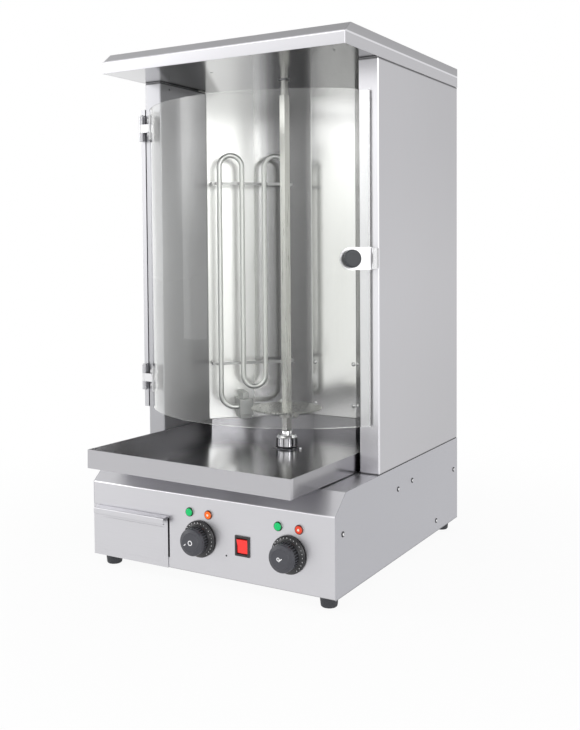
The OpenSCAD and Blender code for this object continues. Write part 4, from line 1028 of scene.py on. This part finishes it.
class GRILL_OT_screws(Operator):
    """Make the screws of the base's sides, each on a dark ring round its head"""

    bl_idname = "grill.screws"
    bl_label = "Side screws"

    def execute(self, context):
        m = context.scene.grill_fitting
        bright = sheet_metal("Screw plating", m.screw, 0.2, even_grain(500),
                             depth=0.03, cloud=0.03, lift=0.04)
        dark = moulding("Screw seat", (0.03, 0.03, 0.035), 0.45, metallic=0.5)
        form = bmesh.new()
        for side in (-1, 1):
            for y, z in SCREWS_AT:
                at = (side * SIDE_X, y * MM, z * MM)
                add(form, turned(SCREW_SEAT, at, (side, 0, 0), 24), 1)
                add(form, turned(SCREW_HEAD, at, (side, 0, 0), 24), 0)
        piece("base_side_screws", form, [bright, dark], "frame",
              ["side_screws"])
        return {"FINISHED"}


# Rounding of the sharp edges of CAD nodes, in millimetres
SOFT_EDGED = {
    "cabinet_side_left": 0.5,
    "cabinet_side_right": 0.5,
    "drawer_front": 0.3,
    "switch_frame": 0.5,
    "switch_rocker": 0.9,
    "element_terminal": 1.2,
    "spit_rod": 0.7,
}
WELD_GAP = 0.01 * MM
SHARP_EDGE = math.radians(40)


class GRILL_OT_edges(Operator):
    """Round the sharp edges of the sheet and the mouldings a little"""

    bl_idname = "grill.edges"
    bl_label = "Soft edges"

    def execute(self, context):
        for name, width in SOFT_EDGED.items():
            obj = NODES[name]
            weld = obj.modifiers.new("weld", "WELD")
            weld.merge_threshold = WELD_GAP
            bevel = obj.modifiers.new("edges", "BEVEL")
            bevel.limit_method = "ANGLE"
            bevel.angle_limit = SHARP_EDGE
            bevel.width = width * MM
            bevel.segments = 2
            bevel.use_clamp_overlap = True
            shade_flat_faces(obj)
        return {"FINISHED"}


# ---- Studio ----------------------------------------------------------------

# Brightness of the room's walls, once round from the left by the front, the right and the back
ROOM_WALLS = ((0.0, 0.8), (0.03, 1.0), (0.075, 3.2), (0.13, 1.3), (0.165, 1.12), (0.19, 1.15),
              (0.26, 1.0), (0.34, 1.3), (0.42, 4.2), (0.50, 1.2), (0.58, 0.72), (0.64, 0.80),
              (0.684, 0.80), (0.70, 0.64), (0.80, 0.66), (0.92, 0.8), (1.0, 0.8))
# By height, where 0 is straight down, 0.5 is level and 1 is straight up: how much the walls
# count, and the brightness of what is below and above them
WALL_SHARE = ((0.0, 0.0), (0.495, 0.0), (0.56, 1.0), (0.68, 1.0), (0.78, 0.0), (1.0, 0.0))
ROOM_REST = ((0.0, 0.9), (0.49, 1.0), (0.56, 1.0), (0.66, 0.6), (0.77, 0.6), (0.81, 1.5),
             (0.85, 0.6), (1.0, 0.5))
WHITE = (1, 1, 1, 1)

# The floor: half its width in metres, its finish, and where it fades to white to the camera
FLOOR_HALF = 14
FLOOR_COLOUR = (0.86, 0.86, 0.86, 1)
FLOOR_ROUGH = 0.9
FADE_FROM, FADE_TO = 0.3, 1.1
FADE_NEAR, FADE_FAR = 0.92, 1.0
FLOOR_GLEAM = 0.8

# The two lamps in metres: where each stands, what it looks at, and its width and height
TOP_LIGHT = ((-0.5, -1.5, 2.5), (0, 0, 0.4), (1.8, 1.4))
LEFT_LIGHT = ((-2.2, -1.6, 1.0), (0, 0, 0.45), (1.2, 1.8))

# The camera of the photograph, in metres and degrees, and its lens and sensor in millimetres
CAMERA_AT = (0.8463, -1.4245, 0.5214)
CAMERA_YAW = 30.484
CAMERA_PITCH = -2.429
CAMERA_ROLL = -0.433
CAMERA_LENS = 59.64
CAMERA_SENSOR = 36
CAMERA_SHIFT = (0.0130, -0.1308)


def seen_straight(tree, path):
    """1 where the camera sees the background itself or through glass, with no mirror between."""
    direct = math_node(tree, "LESS_THAN", path.outputs["Glossy Depth"], 0.5)
    through = math_node(tree, "MULTIPLY", path.outputs["Is Transmission Ray"], direct)
    return math_node(tree, "MAXIMUM", path.outputs["Is Camera Ray"], through)


def studio_world(strength):
    """White to the camera; to the object, a room with two bright windows and a dim ceiling."""
    world = bpy.data.worlds.new("Studio room")
    world.use_nodes = True
    tree = world.node_tree
    tree.nodes.clear()
    coords = tree.nodes.new("ShaderNodeTexCoord")
    split = tree.nodes.new("ShaderNodeSeparateXYZ")
    tree.links.new(coords.outputs["Generated"], split.inputs[0])
    turn = math_node(tree, "ARCTAN2", split.outputs["Y"], split.outputs["X"])
    once_round = math_node(tree, "MULTIPLY_ADD", turn, 0.5 / math.pi, 0.5)
    height = math_node(tree, "MULTIPLY_ADD", split.outputs["Z"], 0.5, 0.5)
    walls = ramp(tree, once_round, ROOM_WALLS)
    light = colour_mix(tree, ramp(tree, height, WALL_SHARE), ramp(tree, height, ROOM_REST), walls)
    room = tree.nodes.new("ShaderNodeBackground")
    room.inputs["Strength"].default_value = strength
    tree.links.new(light, room.inputs["Color"])
    white = tree.nodes.new("ShaderNodeBackground")
    white.inputs["Color"].default_value = WHITE
    path = tree.nodes.new("ShaderNodeLightPath")
    out = tree.nodes.new("ShaderNodeOutputWorld")
    shader_mix(tree, seen_straight(tree, path), room.outputs[0], white.outputs[0], out)
    return world


def floor_material():
    """A pale floor that keeps the grill's shadow and turns white away from it."""
    mat, tree, shader = blank_material("Studio floor")
    shader.inputs["Base Color"].default_value = FLOOR_COLOUR
    shader.inputs["Roughness"].default_value = FLOOR_ROUGH
    glow = tree.nodes.new("ShaderNodeEmission")
    glow.inputs["Strength"].default_value = 1.0
    path = tree.nodes.new("ShaderNodeLightPath")
    coords = tree.nodes.new("ShaderNodeTexCoord")
    far = tree.nodes.new("ShaderNodeVectorMath")
    far.operation = "LENGTH"
    tree.links.new(coords.outputs["Object"], far.inputs[0])
    fade = tree.nodes.new("ShaderNodeMapRange")
    fade.interpolation_type = "SMOOTHSTEP"
    fade.inputs["From Min"].default_value = FADE_FROM
    fade.inputs["From Max"].default_value = FADE_TO
    fade.inputs["To Min"].default_value = FADE_NEAR
    fade.inputs["To Max"].default_value = FADE_FAR
    tree.links.new(far.outputs["Value"], fade.inputs["Value"])
    seen = math_node(tree, "MULTIPLY", seen_straight(tree, path), fade.outputs["Result"])
    gleam = math_node(tree, "MULTIPLY", path.outputs["Is Glossy Ray"], FLOOR_GLEAM)
    share = math_node(tree, "MAXIMUM", seen, gleam)
    shader_mix(tree, share, shader.outputs[0], glow.outputs[0], tree.nodes["Material Output"])
    return mat


def area_light(name, place, watts):
    """A rectangular lamp that looks at a point."""
    at, aim, size = place
    data = bpy.data.lights.new(name, "AREA")
    data.shape = "RECTANGLE"
    data.size, data.size_y = size
    data.energy = watts
    obj = bpy.data.objects.new(name, data)
    obj.location = at
    obj.rotation_euler = (Vector(aim) - Vector(at)).to_track_quat("-Z", "Y").to_euler()
    bpy.context.scene.collection.objects.link(obj)
    return obj


def studio_floor():
    """The floor under the grill."""
    form = bmesh.new()
    bmesh.ops.create_grid(form, x_segments=1, y_segments=1, size=FLOOR_HALF)
    mesh = bpy.data.meshes.new("floor")
    form.to_mesh(mesh)
    form.free()
    mesh.materials.append(floor_material())
    floor = bpy.data.objects.new("floor", mesh)
    bpy.context.scene.collection.objects.link(floor)


def studio_camera():
    """The camera of the photograph."""
    angles = (CAMERA_YAW, CAMERA_PITCH, CAMERA_ROLL)
    yaw, pitch, roll = (math.radians(angle) for angle in angles)
    ahead = Vector((-math.sin(yaw) * math.cos(pitch), math.cos(yaw) * math.cos(pitch),
                    math.sin(pitch)))
    right = ahead.cross(Vector(UP)).normalized()
    up = right.cross(ahead)
    across = math.cos(roll) * right + math.sin(roll) * up
    upward = -math.sin(roll) * right + math.cos(roll) * up
    data = bpy.data.cameras.new("camera")
    data.sensor_fit = "HORIZONTAL"
    data.sensor_width = CAMERA_SENSOR
    data.lens = CAMERA_LENS
    data.shift_x, data.shift_y = CAMERA_SHIFT
    camera = bpy.data.objects.new("camera", data)
    turn = Matrix((across, upward, -ahead)).transposed().to_4x4()
    camera.matrix_world = Matrix.Translation(CAMERA_AT) @ turn
    bpy.context.scene.collection.objects.link(camera)
    return camera


class GRILL_OT_stage(Operator):
    """Make the floor, the light and the camera of the photograph"""

    bl_idname = "grill.stage"
    bl_label = "Studio"

    def execute(self, context):
        scene = context.scene
        settings = scene.grill_stage
        studio_floor()
        scene.world = studio_world(settings.world)
        area_light("top_light", TOP_LIGHT, settings.top)
        left = area_light("left_light", LEFT_LIGHT, settings.left)
        left.visible_transmission = False
        scene.view_settings.view_transform = "Standard"
        scene.camera = studio_camera()
        return {"FINISHED"}


# ---- Panel and registration ------------------------------------------------


class GRILL_PT_panel(Panel):
    """The grill's pieces and their settings"""

    bl_idname = "GRILL_PT_panel"
    bl_label = "Skewer grill"
    bl_space_type = "VIEW_3D"
    bl_region_type = "UI"
    bl_category = "Grill"

    def draw(self, context):
        for name in GROUPS:
            group = getattr(context.scene, name)
            for key in group.__annotations__:
                self.layout.prop(group, key)
        for step in STEPS:
            self.layout.operator(step.bl_idname)


STEPS = (
    GRILL_OT_finishes,
    GRILL_OT_edges,
    GRILL_OT_hood,
    GRILL_OT_tray_hem,
    GRILL_OT_controls,
    GRILL_OT_lamps,
    GRILL_OT_drawer_panel,
    GRILL_OT_drive,
    GRILL_OT_screws,
    GRILL_OT_stage,
)
GROUPS = {
    "grill_sheet": GrillSheetSettings,
    "grill_fitting": GrillFittingSettings,
    "grill_control": GrillControlSettings,
    "grill_glass": GrillGlassSettings,
    "grill_form": GrillFormSettings,
    "grill_stage": GrillStageSettings,
}


def register():
    """Register the settings, the operators and the panel."""
    for cls in (*GROUPS.values(), *STEPS, GRILL_PT_panel):
        bpy.utils.register_class(cls)
    for name, cls in GROUPS.items():
        setattr(bpy.types.Scene, name, PointerProperty(type=cls))


def unregister():
    """Take the settings, the operators and the panel away."""
    for name in GROUPS:
        delattr(bpy.types.Scene, name)
    for cls in reversed((*GROUPS.values(), *STEPS, GRILL_PT_panel)):
        bpy.utils.unregister_class(cls)


def main():
    """Run every step in order."""
    register()
    for step in STEPS:
        area, name = step.bl_idname.split(".")
        getattr(getattr(bpy.ops, area), name)()


if __name__ == "__main__":
    main()
